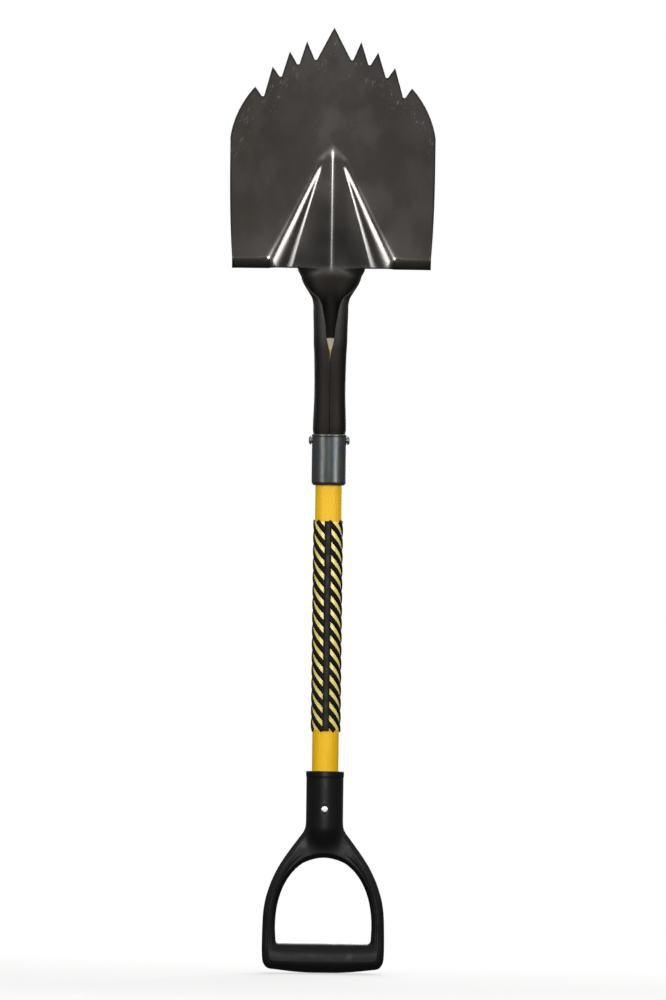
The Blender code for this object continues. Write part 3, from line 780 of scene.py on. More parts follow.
    def frog_floor(self, x: np.ndarray, z: np.ndarray) -> np.ndarray:
        """The hollow's floor, which runs on from the socket's front."""
        t = np.clip((z - self.shoulder) / self.frog_length, 0, 1)
        edge = between((self.throat_half, 0.8 * self.wall_foot[1]), t)
        sag = between(self.sag, t) * (np.abs(x) / edge) ** self.floor_power
        return SOCKET_RADIUS - sag - self.crease(x, self.crease_slope)

    def sheet_y(self, x: np.ndarray, z: np.ndarray) -> np.ndarray:
        """The middle surface anywhere above the shoulders."""
        t = np.clip((z - self.shoulder) / self.frog_length, 0, 1)
        foot, top = between(self.wall_foot, t), between(self.wall_top, t)
        foot_y, top_y = self.frog_floor(foot, z), self.wing(top, z)
        floor_slope = (self.frog_floor(foot - 1 * MM, z) - foot_y) / MM
        steepness = np.maximum(floor_slope, (foot_y - top_y) / (top - foot))
        wall = foot_y - steepness * (np.abs(x) - foot)
        softness = (self.foot_softness, self.top_softness)
        foot_soft, top_soft = (low * (1 - t) ** 1.5 + high * t for low, high in softness)
        return soft_max(self.wing(x, z), soft_min(self.frog_floor(x, z), wall, foot_soft), top_soft)

    # The throat and socket

    def mid_radius(self, z: float) -> float:
        """The socket's middle radius: flared above the collar, tight inside it."""
        flare = 1 - smooth_step(z, self.collar_top + 5 * MM, self.collar_top + self.flare_length)
        inside = 1 - smooth_step(z, self.collar_top + 1 * MM, self.collar_top + 5 * MM)
        swell = 1 - smooth_step(abs(self.shoulder - z - self.swell_below), 0, self.swell_reach)
        widened = self.socket_flare * flare + self.socket_swell * swell
        return SOCKET_RADIUS + widened - inside * (self.socket_flare - 0.4 * MM)

    def throat_row(self, z: float) -> np.ndarray:
        """Half the section at z, at each column from the front's middle to the free edge."""
        drop = self.shoulder - z
        share, degrees, bunching = eased_table(self.throat_table, drop / MM)
        radius, fine = self.mid_radius(z), 192
        step = share * (math.pi - self.seam_half_angle) * radius / fine
        angles = math.radians(degrees) * ((np.arange(fine) + 0.5) / fine) ** bunching
        x = np.append(0, np.cumsum(step * np.cos(angles)))
        y = radius - np.append(0, np.cumsum(step * np.sin(angles)))
        at = self.columns[self.columns <= self.throat_columns] / self.throat_columns * fine
        x, y = (np.interp(at, np.arange(fine + 1), v) for v in (x, y))
        y -= self.crease(x, self.crease_slope * (1 - smooth_step(drop, 0, self.crease_run_out)))
        return np.stack([x, y, np.full_like(x, z)], axis=1)

    # The steps

    def step_rows(self, x: np.ndarray) -> list[np.ndarray]:
        """The turned step's rows at each x, from the blade down round its bend to the free edge."""
        splay = self.shoulder_dish / self.shoulder_half**2 * (self.step_inner + self.shoulder_half)
        edge_y = self.wing(self.step_inner, self.shoulder) + self.step_depth + splay * (x - self.step_inner)
        reach = edge_y - self.sheet_y(x, self.shoulder)
        rise = reach * math.tan(self.step_pitch) / (1 + math.tan(self.lift) * math.tan(self.step_pitch))
        fold_y, fold_z = edge_y - rise / math.tan(self.step_pitch), self.shoulder + rise
        up = Vector((math.sin(self.lift), math.cos(self.lift)))
        out = Vector((math.cos(self.step_pitch), -math.sin(self.step_pitch)))
        half_turn = (math.pi - up.angle(out)) / 2
        centre = (up + out).normalized() * self.step_bend / math.cos(half_turn)
        reach_up, reach_out = (way * self.step_bend * math.tan(half_turn) - centre for way in (up, out))
        offsets = [centre + reach_up.slerp(reach_out, i / 6) * reach_up.length for i in range(7)]
        rows = [np.stack([x, fold_y + o.x, fold_z + o.y], axis=1) for o in offsets]
        edge = np.stack([x, edge_y, np.full_like(x, self.shoulder)], axis=1)
        return rows + [between((rows[-1], edge), i / 8) for i in range(1, 9)]

    def half_rows(self) -> tuple[list[np.ndarray], list[np.ndarray]]:
        """The half sheet's rows: the socket's and throat's with the blade's above them, and the step's."""
        c = self.columns
        along = np.arange(len(self.column_splits) + 1)
        foot, top = self.column_foot[0], self.column_top[0]
        low = [self.throat_half * i / self.throat_columns for i in range(self.throat_columns + 1)]
        low += [(self.throat_half + foot) / 2, foot, (foot + top) / 2, top, self.step_inner]
        low += [between((self.step_inner, self.shoulder_half), share) for share in (1 / 3, 2 / 3, 1)]
        foot, top = self.column_foot[1], self.column_top[1]
        high = [0.8 * foot * i / self.throat_columns for i in range(self.throat_columns + 1)]
        high += [0.9 * foot, foot, (foot + top) / 2, top]
        high += [between((top, self.blade_half), share) for share in (0.22, 0.52, 0.78, 1)]
        low_x, high_x = np.interp(c, along, low), np.interp(c, along, high)
        first = low.index(self.step_inner)
        over_step = c >= first
        flange = self.step_rows(low_x[over_step])
        start_z = np.full_like(c, self.shoulder)
        start_z[over_step] = flange[0][:, 2]
        gusset = (c > first - 1) & (c < first)
        start_z[gusset] = between((self.shoulder, flange[0][0, 2]), c[gusset] - (first - 1))
        taper = np.interp(c, (first - 1, len(along) - 1), (1, self.side_taper))
        rows = []
        for r in range(self.frog_rows + 1):
            z = between((start_z, self.frog_point), r / self.frog_rows)
            x = high_x - (high_x - low_x) * (1 - (z - start_z) / (self.frog_point - start_z)) ** taper
            rows.append(np.stack([x, self.sheet_y(x, z), z], axis=1))
        rim_x, rim_z = self.rim()
        for r in range(1, self.rim_rows + 1):
            t = 1 - (1 - r / self.rim_rows) ** 2
            x = between((high_x, rim_x), t)
            z = self.frog_point + self.fan * t + (rim_z - self.frog_point - self.fan) * t**3
            rows.append(np.stack([x, self.sheet_y(x, z), z], axis=1))
        corner = rows[0][c == first - 1][0]
        gusset_share = (c[gusset] - (first - 1))[:, None]
        steps = []
        for k, line in enumerate(flange):
            if k == 0:
                line = rows[0][over_step]
            inner = between((corner, line[0]), gusset_share) if k else rows[0][gusset]
            steps.append(np.vstack([corner[None], inner, line]))
        inside, above, throat = self.socket_rows
        heights = np.concatenate([
            np.linspace(self.mouth, self.collar_top + 1 * MM, inside)[:-1],
            np.linspace(self.collar_top + 1 * MM, self.shoulder - self.throat_length, above)[:-1],
            self.shoulder - np.linspace(self.throat_length, 0, throat)[:-1],
        ])
        seat = rows[0][c <= self.throat_columns] - self.throat_row(self.shoulder)
        eased = 1 - smooth_step(self.shoulder - heights, 0, self.throat_blend)
        return [self.throat_row(z) + seat * share for z, share in zip(heights, eased)] + rows, steps

    def rim_distances(self, points: np.ndarray, sides: bool) -> np.ndarray:
        """How far each point is from the toothed rim, seen square on.

        Args:
            points: the points.
            sides: whether the blade's straight sides count too.

        Returns:
            The distances.
        """
        x, z = self.rim()
        if sides:
            down = np.linspace(z[-1], self.shoulder, 60)[1:]
            drawn_in = np.clip((self.frog_point - down) / self.frog_length, 0, 1) ** self.side_taper
            x = np.append(x, between((self.blade_half, self.shoulder_half), drawn_in))
            z = np.append(z, down)
        fine = np.linspace(0, len(x) - 1, 3 * len(x))
        rim = np.stack([np.interp(fine, np.arange(len(x)), v) for v in (x, z)], axis=1)
        flat = np.stack([np.abs(points[:, 0]), points[:, 2]], axis=1)
        return np.array([np.sqrt(((rim - p) ** 2).sum(axis=1).min()) for p in flat])

    def sheet_surface(self) -> tuple[np.ndarray, list]:
        """The whole middle surface as points and quads, both halves."""
        rows, steps = self.half_rows()
        points, faces, seen = [], [], {}

        def index(point: np.ndarray) -> int:
            key = tuple(np.round(point / (0.02 * MM)).astype(int))
            if key not in seen:
                seen[key] = len(points)
                points.append(point)
            return seen[key]

        for side in (1, -1):
            flip = np.array([side, 1, 1])
            for group in (rows, steps):
                numbers = [[index(p * flip) for p in row] for row in group]
                for low, high in zip(numbers, numbers[1:]):
                    for i in range(min(len(low), len(high)) - 1):
                        quad = [low[i], low[i + 1], high[i + 1], high[i]]
                        quad = [v for n, v in enumerate(quad) if v != quad[n - 1]]
                        if len(quad) > 2:
                            faces.append(quad if (side > 0) == (group is rows) else quad[::-1])
        return np.array(points), faces

    def thickened(self, name: str) -> bpy.types.Object:
        """Gives the middle surface its thickness, a rounded edge and the teeth's ground front.

        Args:
            name: the piece's name.

        Returns:
            The solid sheet.
        """
        points, faces = self.sheet_surface()
        bm = bmesh.new()
        verts = [bm.verts.new(p) for p in points]
        for face in faces:
            bm.faces.new([verts[i] for i in face])
        bm.verts.index_update()
        bmesh.ops.recalc_face_normals(bm, faces=bm.faces)
        bm.normal_update()
        on_face = Vector((0, 0, self.frog_point + 60 * MM))
        middle = min(bm.faces, key=lambda f: (f.calc_center_median() - on_face).length)
        if middle.normal.y < 0:
            bmesh.ops.reverse_faces(bm, faces=bm.faces)
            bm.normal_update()
        normals = np.array([v.normal for v in bm.verts])
        outward = np.zeros_like(points)
        border = []
        for edge in bm.edges:
            if len(edge.link_faces) != 1:
                continue
            loop = edge.link_loops[0]
            a, b = loop.vert, loop.link_loop_next.vert
            away = (b.co - a.co).cross(loop.face.normal).normalized()
            border.append((a.index, b.index))
            outward[a.index] += away
            outward[b.index] += away
        on_border = sorted({i for pair in border for i in pair})
        lengths = np.linalg.norm(outward, axis=1)
        outward[on_border] /= lengths[on_border, None]
        quads = [[v.index for v in face.verts] for face in bm.faces]
        bm.free()
        rim, edge = self.rim_distances(points, False), self.rim_distances(points, True)
        half = self.sheet / 2
        ground = self.ground_depth * (1 - smooth_step(rim, 0, self.ground_width))
        front = points + normals * (half - ground)[:, None]
        back = points - normals * half
        front[on_border] -= outward[on_border] * self.edge_round
        back[on_border] -= outward[on_border] * self.edge_round
        count = len(points)
        made = [front, back]
        number = {v: i for i, v in enumerate(on_border)}
        turns = (math.radians(45), 0, math.radians(-45))
        ring = []
        for k, turn in enumerate(turns):
            height = math.sin(turn) * half - ground[on_border] * (0.5 + 0.5 * math.sin(turn))
            out = (math.cos(turn) - 1) * self.edge_round
            made.append(points[on_border] + normals[on_border] * height[:, None] + outward[on_border] * out)
            first = 2 * count + k * len(on_border)
            ring.append({v: first + n for v, n in number.items()})
        solid = quads + [[count + v for v in reversed(q)] for q in quads]
        for a, b in border:
            levels = [(a, b)] + [(level[a], level[b]) for level in ring] + [(count + a, count + b)]
            for (a0, b0), (a1, b1) in zip(levels, levels[1:]):
                solid.append([b0, a0, a1, b1])
        obj = add_piece(name, np.vstack(made), solid, 50)
        turn_outwards(obj)
        x, z = np.abs(points[:, 0]), points[:, 2]
        # hollow and edge_distance set where the lacquer gets painted shade
        hollow = np.clip((points[:, 1] - self.wing(x, z)) / self.hollow_depth, 0, 1)
        for name, far in (("rim_distance", rim), ("edge_distance", edge), ("hollow", hollow)):
            carried = obj.data.attributes.new(name, "FLOAT", "POINT")
            carried.data.foreach_set("value", np.concatenate([far, far] + [far[on_border]] * len(turns)))
        return obj

    def build(self) -> None:
        """Makes and dresses the blade."""
        dress(self.thickened(self.name), BLADE_LACQUER, "blade_steel", "blade")


# ---------------------------------------------------------------- collar, rivets and shaft


@dataclass
class SocketCollar:
    """The drawn ferrule over the socket's mouth, rolled at its top and swaged in below, with its rivet."""

    wall: float = 1.1 * MM
    lip: float = 0.35 * MM
    clearance: float = 1.7 * MM  # from the socket's middle radius to the collar's bore
    shelf: float = 4.6 * MM
    swage: float = 3 * MM
    chamfer: float = 2 * MM
    bead: tuple = (2 * MM, 2.8 * MM)  # the rolled top's height, without and with its slope
    corner: float = 0.6 * MM
    hole: float = 3.3 * MM
    rivet_shank: float = 3 * MM
    rivet_head: float = 4.75 * MM
    rivet_height: float = 2.9 * MM

    def build(self) -> None:
        """Makes and dresses the collar and its rivet."""
        bottom, top = (corner.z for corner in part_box("socket_collar"))
        bore, inner = SHAFT_RADIUS + GAP, SOCKET_RADIUS + self.clearance
        outer = inner + self.wall
        shelf = bottom + self.shelf - GAP
        profile = [
            (inner, top), (inner, shelf), (bore, shelf - 1.5 * self.wall), (bore, bottom),
            (outer - self.chamfer, bottom), (outer, bottom + self.swage), (outer, top - self.bead[1]),
            (outer + self.lip, top - self.bead[0]), (outer + self.lip, top),
        ]
        collar = turned("drawn_collar", rounded(profile, self.corner), segments=128, tube=True)
        z = middle_z("collar_rivet")
        dress(bored(collar, Axis.X, self.hole, z), COLLAR_ZINC, "collar_zinc", "socket_collar")
        reach = outer + self.lip + GAP
        rivet = HeadedRivet(Axis.X, self.rivet_shank, self.rivet_head, self.rivet_height, reach, z)
        dress(rivet.make("collar_snap_rivet"), RIVET_ZINC, "rivet_steel", "collar_rivet")


@dataclass
class HeadedRivet:
    """A solid rivet with both heads formed."""

    axis: Axis
    shank: float
    head: float
    height: float
    reach: float
    z: float
    flat: float = 0.35  # share of the head's radius that the snap leaves flat

    def make(self, name: str) -> bpy.types.Object:
        """The rivet's solid."""
        dome = []
        for i in range(13):
            turn = math.pi / 2 * i / 12
            across = self.flat + (1 - self.flat) * math.cos(turn)
            dome.append((self.head * across, self.reach + self.height * (0.12 + 0.88 * math.sin(turn))))
        side = [(self.shank, 0), (self.shank, self.reach), (self.head * 0.97, self.reach)] + dome
        side.append((0, self.reach + self.height))
        profile = [(r, -h) for r, h in reversed(side[1:])] + side[1:]
        return turned(name, profile, self.axis, (0, 0, self.z), 48)


@dataclass
class FibreglassShaft:
    """The pultruded tube with the core that shows in the blade's throat, and the hidden plug."""

    wall: float = 3.4 * MM
    core_crown: float = 2.2 * MM
    bevel: float = 0.8 * MM
    collar_hole: float = 3.3 * MM
    grip_hole: float = 2.9 * MM

    def build(self) -> None:
        """Makes and dresses the tube and its core, and dresses the plug."""
        low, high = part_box("shaft")
        inner = SHAFT_RADIUS - self.wall
        wall = [(inner, low.z), (SHAFT_RADIUS, low.z), (SHAFT_RADIUS, high.z), (inner, high.z)]
        tube = turned("fibreglass_tube", rounded(wall, self.bevel), tube=True)
        bored(tube, Axis.X, self.collar_hole, middle_z("collar_rivet"))
        bored(tube, Axis.Y, self.grip_hole, middle_z("d_grip_rivet"))
        dress(tube, SHAFT_YELLOW, "shaft_fibreglass", "shaft")
        core_low, core_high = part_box("shaft_core")
        radius = inner - GAP
        turns = [math.pi / 2 * i / 10 for i in range(11)]
        crown = [(radius * math.cos(a), core_high.z - self.core_crown * (1 - math.sin(a))) for a in turns]
        rod = [(0, core_low.z), (radius, core_low.z), *crown[:-1], (0, core_high.z)]
        core = bored(turned("resin_core", rod), Axis.X, self.collar_hole, middle_z("collar_rivet"))
        dress(core, CORE_CREAM, "core_resin", "shaft_core")
        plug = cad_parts["shaft_plug"]
        plug.data.materials.clear()
        plug.data.materials.append(CORE_CREAM.material())


# ---------------------------------------------------------------- sleeve


@dataclass
class RibbedSleeve:
    """Helical rubber ribs joined by a spine down the back, over a lemon film on the shaft."""

    rib_height: float = 2 * MM
    ribs: int = 7
    lead: float = 101.5 * MM
    rib_width: float = 5.5 * MM
    spine_width: float = 7.6 * MM
    spine_proud: float = 0.2 * MM  # how far the spine stands above the ribs
    film: float = 0.45 * MM
    film_inset: float = 1 * MM
    rib_inset: float = 0.4 * MM

    def spine(self, low: float, high: float) -> bpy.types.Object:
        """The spine: a strip with rounded long edges, bent to the shaft.

        Args:
            low: its lower end.
            high: its upper end.

        Returns:
            The strip's object, which the ribs then join.
        """
        inner, outer = SHAFT_RADIUS + 1.5 * GAP, SHAFT_RADIUS + self.rib_height + self.spine_proud
        half = self.spine_width / 2 / outer
        across = [half * math.sin(math.pi / 2 * s / 6) for s in range(-6, 7)]
        section = [(outer - 0.5 * MM * (a / half) ** 6, a) for a in across]
        section += [(inner, a) for a in reversed(across)]
        body = np.linspace(low + 2 * MM, high - 2 * MM, 24)
        stations = [low, low + 0.35 * MM, *body, high - 0.35 * MM, high]
        points, faces, ring = [], [], len(section)
        for s, z in enumerate(stations):
            end = s in (0, len(stations) - 1)
            for r, a in section:
                held = min(r, outer - 0.4 * MM) if end else r
                points.append(Axis.Z.point(held, a - math.pi / 2, z))
        for s in range(len(stations) - 1):
            for i in range(ring):
                j = (i + 1) % ring
                faces.append([s * ring + i, s * ring + j, (s + 1) * ring + j, (s + 1) * ring + i])
        faces += [list(range(ring)), [len(points) - ring + i for i in range(ring)]]
        obj = add_piece("ribbed_sleeve", np.array(points), faces)
        turn_outwards(obj)
        return obj

    def rib_tree(self) -> bpy.types.NodeTree:
        """Geometry Nodes that wind the ribs round the shaft and add them to the spine."""
        tree = bpy.data.node_groups.new("helical_ribs", "GeometryNodeTree")
        face = tree.interface
        face.new_socket("Geometry", in_out="INPUT", socket_type="NodeSocketGeometry")
        kinds = {"Ribs": "Int", "Finish": "Material"}
        for name in ("Ribs", "Turns", "Radius", "Length", "Bottom", "Rib Width", "Rib Height", "Finish"):
            face.new_socket(name, in_out="INPUT", socket_type="NodeSocket" + kinds.get(name, "Float"))
        face.new_socket("Geometry", in_out="OUTPUT", socket_type="NodeSocketGeometry")
        given = add_node(tree, "NodeGroupInput").outputs
        helix = add_node(tree, "GeometryNodeCurveSpiral", {
            "Rotations": given["Turns"], "Start Radius": given["Radius"], "End Radius": given["Radius"],
            "Height": given["Length"]}, {"Resolution": 72})
        upright = add_node(tree, "GeometryNodeSetCurveNormal", {"Curve": helix.outputs[0]}, mode="Z_UP")
        circle = add_node(tree, "GeometryNodeCurvePrimitiveCircle", None, {"Resolution": 20, "Radius": 1.0})
        # The section is a low cushion: a circle made flat below and squarer above, which stands out along -X
        position = add_node(tree, "GeometryNodeInputPosition").outputs[0]
        place = add_node(tree, "ShaderNodeSeparateXYZ", {0: position})
        half_width = worked(tree, "MULTIPLY", given["Rib Width"], 0.5)
        wide = worked(tree, "MULTIPLY", place.outputs["X"], half_width)
        squarer = worked(tree, "POWER", worked(tree, "MAXIMUM", place.outputs["Y"], 0.0), 0.55)
        inward = worked(tree, "MULTIPLY", worked(tree, "MULTIPLY", squarer, given["Rib Height"]), -1.0)
        moved = add_node(tree, "ShaderNodeCombineXYZ", {"Y": wide, "X": inward})
        section = add_node(tree, "GeometryNodeSetPosition",
                           {0: circle.outputs[0], "Position": moved.outputs[0]})
        rib = add_node(tree, "GeometryNodeCurveToMesh",
                       {"Curve": upright.outputs[0], "Profile Curve": section.outputs[0]},
                       {"Fill Caps": True})
        starts = add_node(tree, "GeometryNodeMeshLine", {"Count": given["Ribs"]}, {"Offset": (0, 0, 0)})
        step = add_node(tree, "ShaderNodeMath", {1: given["Ribs"]}, {0: 2 * math.pi}, operation="DIVIDE")
        index = add_node(tree, "GeometryNodeInputIndex").outputs[0]
        angle = worked(tree, "MULTIPLY", index, step.outputs[0])
        turn = add_node(tree, "ShaderNodeCombineXYZ", {"Z": angle})
        wound = add_node(tree, "GeometryNodeInstanceOnPoints", {
            "Points": starts.outputs[0], "Instance": rib.outputs[0], "Rotation": turn.outputs[0]})
        lift = add_node(tree, "ShaderNodeCombineXYZ", {"Z": given["Bottom"]})
        raised = add_node(tree, "GeometryNodeTransform",
                          {0: wound.outputs[0], "Translation": lift.outputs[0]})
        joined = add_node(tree, "GeometryNodeJoinGeometry", {0: given["Geometry"]})
        tree.links.new(raised.outputs[0], joined.inputs[0])
        real = add_node(tree, "GeometryNodeRealizeInstances", {0: joined.outputs[0]})
        dressed = add_node(tree, "GeometryNodeSetMaterial", {0: real.outputs[0], "Material": given["Finish"]})
        add_node(tree, "NodeGroupOutput", {0: dressed.outputs[0]})
        return tree

    def build(self) -> None:
        """Makes and dresses the sleeve and its film."""
        low, high = (corner.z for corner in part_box("grip_sleeve"))
        sleeve = self.spine(low, high)
        wind = sleeve.modifiers.new("ribs", "NODES")
        wind.node_group = self.rib_tree()
        length = high - low - 2 * self.rib_inset
        sizes = {
            "Ribs": self.ribs, "Turns": length / self.lead, "Length": length, "Radius": SHAFT_RADIUS + GAP,
            "Bottom": low + self.rib_inset, "Rib Width": self.rib_width, "Rib Height": self.rib_height - GAP,
            "Finish": SLEEVE_RUBBER.material(),
        }
        for item in wind.node_group.interface.items_tree:
            if item.in_out == "INPUT" and item.name in sizes:
                wind[item.identifier] = sizes[item.name]
        finished(sleeve)
        turn_outwards(sleeve)
        sleeve.data.shade_smooth()
        sleeve.data.set_sharp_from_angle(angle=math.radians(60))
        dress(sleeve, SLEEVE_RUBBER, "sleeve_rubber", "grip_sleeve")
        bore, outer = SHAFT_RADIUS + 0.06 * MM, SHAFT_RADIUS + self.film
        bottom, top = low + self.film_inset, high - self.film_inset
        wall = [(bore, bottom), (outer, bottom), (outer, top), (bore, top)]
        dress(turned("sleeve_film", rounded(wall, 0.15 * MM), tube=True), SLEEVE_LEMON)


# ---------------------------------------------------------------- D-grip


@dataclass
class MouldedGrip:
    """The D-grip: socket, forked frame and hand bar in one moulding, as a solid whose parts run together."""

    length: float = 220 * MM
    half_width: float = 66.5 * MM
    depth: float = 21 * MM
    socket_wall: float = 5.5 * MM
    socket_depth: float = 66 * MM
    lip: float = 0.5 * MM
    opening_half: float = 52.5 * MM
    opening_top: float = 126.5 * MM
    opening_waist: float = 48 * MM
    bar_height: float = 32 * MM
    bar_depth: float = 29 * MM
    bar_end_rise: float = 5.5 * MM
    bar_land: float = 9 * MM
    bar_end: float = 4 * MM  # from the bar's end in to the frame's side
    bar_taper: float = 2 * MM
    bar_power: float = 2.4  # squareness of the bar's section
    frame_corner: float = 3.2 * MM
    frame_border: tuple = (1.6 * MM, 4.4 * MM)
    border_drop: float = 2.4 * MM
    crest: float = 0.9 * MM
    merge: float = 4 * MM  # rounding where the parts run together
    rivet_pad: float = 5.2 * MM
    pad_depth: float = 0.35 * MM
    rivet_hole: float = 2.9 * MM
    grid: float = 1.0 * MM

    def __post_init__(self) -> None:
        """Works out the socket's outer radius."""
        self.neck = SHAFT_RADIUS + GAP + self.socket_wall

    def outline(self) -> np.ndarray:
        """The frame's outer outline as (x, z), both halves."""
        wide, neck, fork = self.half_width, self.neck, self.opening_top
        corners = [
            (0.86 * wide, 5 * MM), (0.95 * wide, 8 * MM), (wide, 18 * MM), (0.995 * wide, 0.45 * fork),
            (0.965 * wide, 0.6 * fork), (0.91 * wide, 0.711 * fork), (0.83 * wide, 0.822 * fork),
            (0.72 * wide, 0.933 * fork), (0.585 * wide, 1.04 * fork),
            (between((wide, neck), 0.8), 1.142 * fork), (neck - 0.6 * MM, 1.25 * fork),
            (neck - 4 * MM, 1.32 * fork),
        ]
        half = smooth_through(corners, 5)
        return np.array(half + [(-x, z) for x, z in reversed(half)])

    def opening(self) -> np.ndarray:
        """The hand opening's outline as (x, z): an arch over a straight foot inside the bar."""
        rise = self.opening_top - self.opening_waist
        arch = []
        for i in range(41):
            turn = math.pi * i / 40
            height = self.opening_waist + rise * math.sin(turn) ** (2 / 2.25)
            arch.append((self.opening_half * math.cos(turn), height))
        inner, foot = 0.97 * self.opening_half, self.bar_height - 12 * MM
        return np.array([(inner, foot)] + arch + [(-inner, foot)])

    @staticmethod
    def flat_distance(outline: np.ndarray, x: np.ndarray, z: np.ndarray) -> np.ndarray:
        """Signed distance to a closed outline, negative inside.

        Args:
            outline: its corners as (x, z).
            x: places across.
            z: places up.

        Returns:
            The distance at each place.
        """
        nearest, inside = np.full(x.shape, 1e9), np.zeros(x.shape, bool)
        for (ax, az), (bx, bz) in zip(outline, np.roll(outline, -1, axis=0)):
            ex, ez = bx - ax, bz - az
            t = np.clip(((x - ax) * ex + (z - az) * ez) / (ex * ex + ez * ez), 0, 1)
            nearest = np.minimum(nearest, (x - ax - t * ex) ** 2 + (z - az - t * ez) ** 2)
            if ez:
                crosses = ((az > z) != (bz > z)) & (x < ex * (z - az) / ez + ax)
                inside ^= crosses
        return np.where(inside, -1, 1) * np.sqrt(nearest)

    def frame_depths(self, x: np.ndarray, z: np.ndarray) -> tuple[np.ndarray, np.ndarray, np.ndarray]:
        """The frame seen square on.

        Args:
            x: places across.
            z: places up.

        Returns:
            Distance to the frame's edge there, the frame's half-depth, and the distance to the opening.
        """
        outer, hole = self.flat_distance(self.outline(), x, z), self.flat_distance(self.opening(), x, z)
        edge = np.maximum(outer, -hole)
        inward = -edge
        arm = self.half_width - self.opening_half
        border = smooth_step(inward, *self.frame_border)
        crest = 1 - smooth_step(np.abs(np.abs(outer) - np.abs(hole)), 0, 0.34 * arm)
        half = self.depth / 2 - self.border_drop * (1 - border)
        raised = self.crest * crest * border * (1 - smooth_step(inward, 0.6 * arm, 0.8 * arm))
        return edge, half + raised, hole

    def distance(self, x: np.ndarray, y: np.ndarray, z: np.ndarray, flat: tuple) -> np.ndarray:
        """Roughly how far a place is from the moulding's skin, negative inside.

        Args:
            x: places across.
            y: places from back to front.
            z: places up.
            flat: what frame_depths gives at those x and z.

        Returns:
            The distance at each place.
        """
        edge, half, hole = flat
        across, through = edge + self.frame_corner, np.abs(y) - half + self.frame_corner
        outside = np.hypot(np.maximum(across, 0), np.maximum(through, 0))
        frame_skin = np.minimum(np.maximum(across, through), 0) + outside - self.frame_corner
        reach = self.half_width - self.bar_end
        away = np.clip((np.abs(x) - self.bar_land) / (reach - self.bar_land), 0, 1)
        bottom = self.bar_end_rise * away**2
        middle, tall = (self.bar_height + bottom) / 2, (self.bar_height - bottom) / 2
        deep = self.bar_depth / 2 - self.bar_taper * away**2
        power = self.bar_power
        ring = ((np.abs(y) / deep) ** power + (np.abs(z - middle) / tall) ** power) ** (1 / power)
        bar = soft_max((ring - 1) * 0.9 * np.minimum(deep, tall), np.abs(x) - reach, 5 * MM)
        skin = soft_min(frame_skin, np.maximum(bar, -z), 3.5 * MM)
        neck, mouth = self.neck, self.length
        fork = self.opening_top + 8 * MM
        seat = mouth - self.socket_depth
        grown = smooth_step(z, fork - 10 * MM, seat + 6 * MM)
        deepening = between((self.depth / 2 - 1 * MM, neck), grown) / neck
        flattened = np.hypot(x, y / deepening) * deepening
        lip = smooth_step(z, mouth - 7 * MM, mouth - 5.6 * MM)
        ends = np.maximum(fork - 12 * MM - z, z - mouth)
        tube = soft_max(flattened - neck * deepening - self.lip * lip, ends, 1.2 * MM)
        tube = soft_max(tube, -hole, self.merge)
        skin = np.maximum(soft_min(skin, tube, self.merge), z - mouth)
        bore = np.maximum(np.hypot(x, y) - SHAFT_RADIUS - GAP, seat - GAP - z)
        skin = np.maximum(skin, -bore)
        from_rivet = np.hypot(x, z - middle_z("d_grip_rivet"))
        spot = np.maximum(from_rivet - self.rivet_pad, neck - self.pad_depth - np.abs(y))
        return np.maximum(soft_max(skin, -spot, 0.5 * MM), self.rivet_hole - from_rivet)

    def skin(self) -> tuple[np.ndarray, list]:
        """The moulding's skin as points and quads, by surface nets on a grid.

        Returns:
            The points and the faces.
        """
        low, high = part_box("d_grip")
        g = self.grid
        axes = [np.arange(a - 3 * g, b + 3.5 * g, g) + 0.37 * g for a, b in zip(low, high)]
        x2, z2 = np.meshgrid(axes[0], axes[2], indexing="ij")
        flat = tuple(v[:, None, :] for v in self.frame_depths(x2, z2))
        x, y, z = np.meshgrid(*axes, indexing="ij")
        field = self.distance(x, y, z, flat)
        inside = field < 0
        count = np.zeros([n - 1 for n in field.shape])
        total = np.zeros([*count.shape, 3])
        corners = [(i, j, k) for i in (0, 1) for j in (0, 1) for k in (0, 1)]
        cut = tuple(slice(0, n - 1) for n in field.shape)
        for a in corners:
            for step in range(3):
                if a[step]:
                    continue
                b = tuple(v + (n == step) for n, v in enumerate(a))
                fa, fb = (field[tuple(slice(c.start + o, c.stop + o) for c, o in zip(cut, off))]
                          for off in (a, b))
                crosses = (fa < 0) != (fb < 0)
                t = np.where(crosses, fa / np.where(crosses, fa - fb, 1), 0)
                count += crosses
                for n in range(3):
                    total[..., n] += crosses * (a[n] + (t if n == step else 0))
        cells = count > 0
        number = np.full(cells.shape, -1)
        number[cells] = np.arange(cells.sum())
        origin = np.array([axis[0] for axis in axes])
        points = origin + g * (np.argwhere(cells) + total[cells] / count[cells][:, None])
        faces = []
        for step in range(3):
            u, v = [n for n in range(3) if n != step]
            one = [slice(None)] * 3
            two = [slice(None)] * 3
            one[step], two[step] = slice(0, -1), slice(1, None)
            crossing = inside[tuple(one)] != inside[tuple(two)]
            for cell in np.argwhere(crossing):
                if not (0 < cell[u] < field.shape[u] - 1 and 0 < cell[v] < field.shape[v] - 1):
                    continue
                ring = []
                for du, dv in ((0, 0), (-1, 0), (-1, -1), (0, -1)):
                    at = list(cell)
                    at[u] += du
                    at[v] += dv
                    ring.append(number[tuple(at)])
                faces.append(ring)
        return self.settled(points), faces

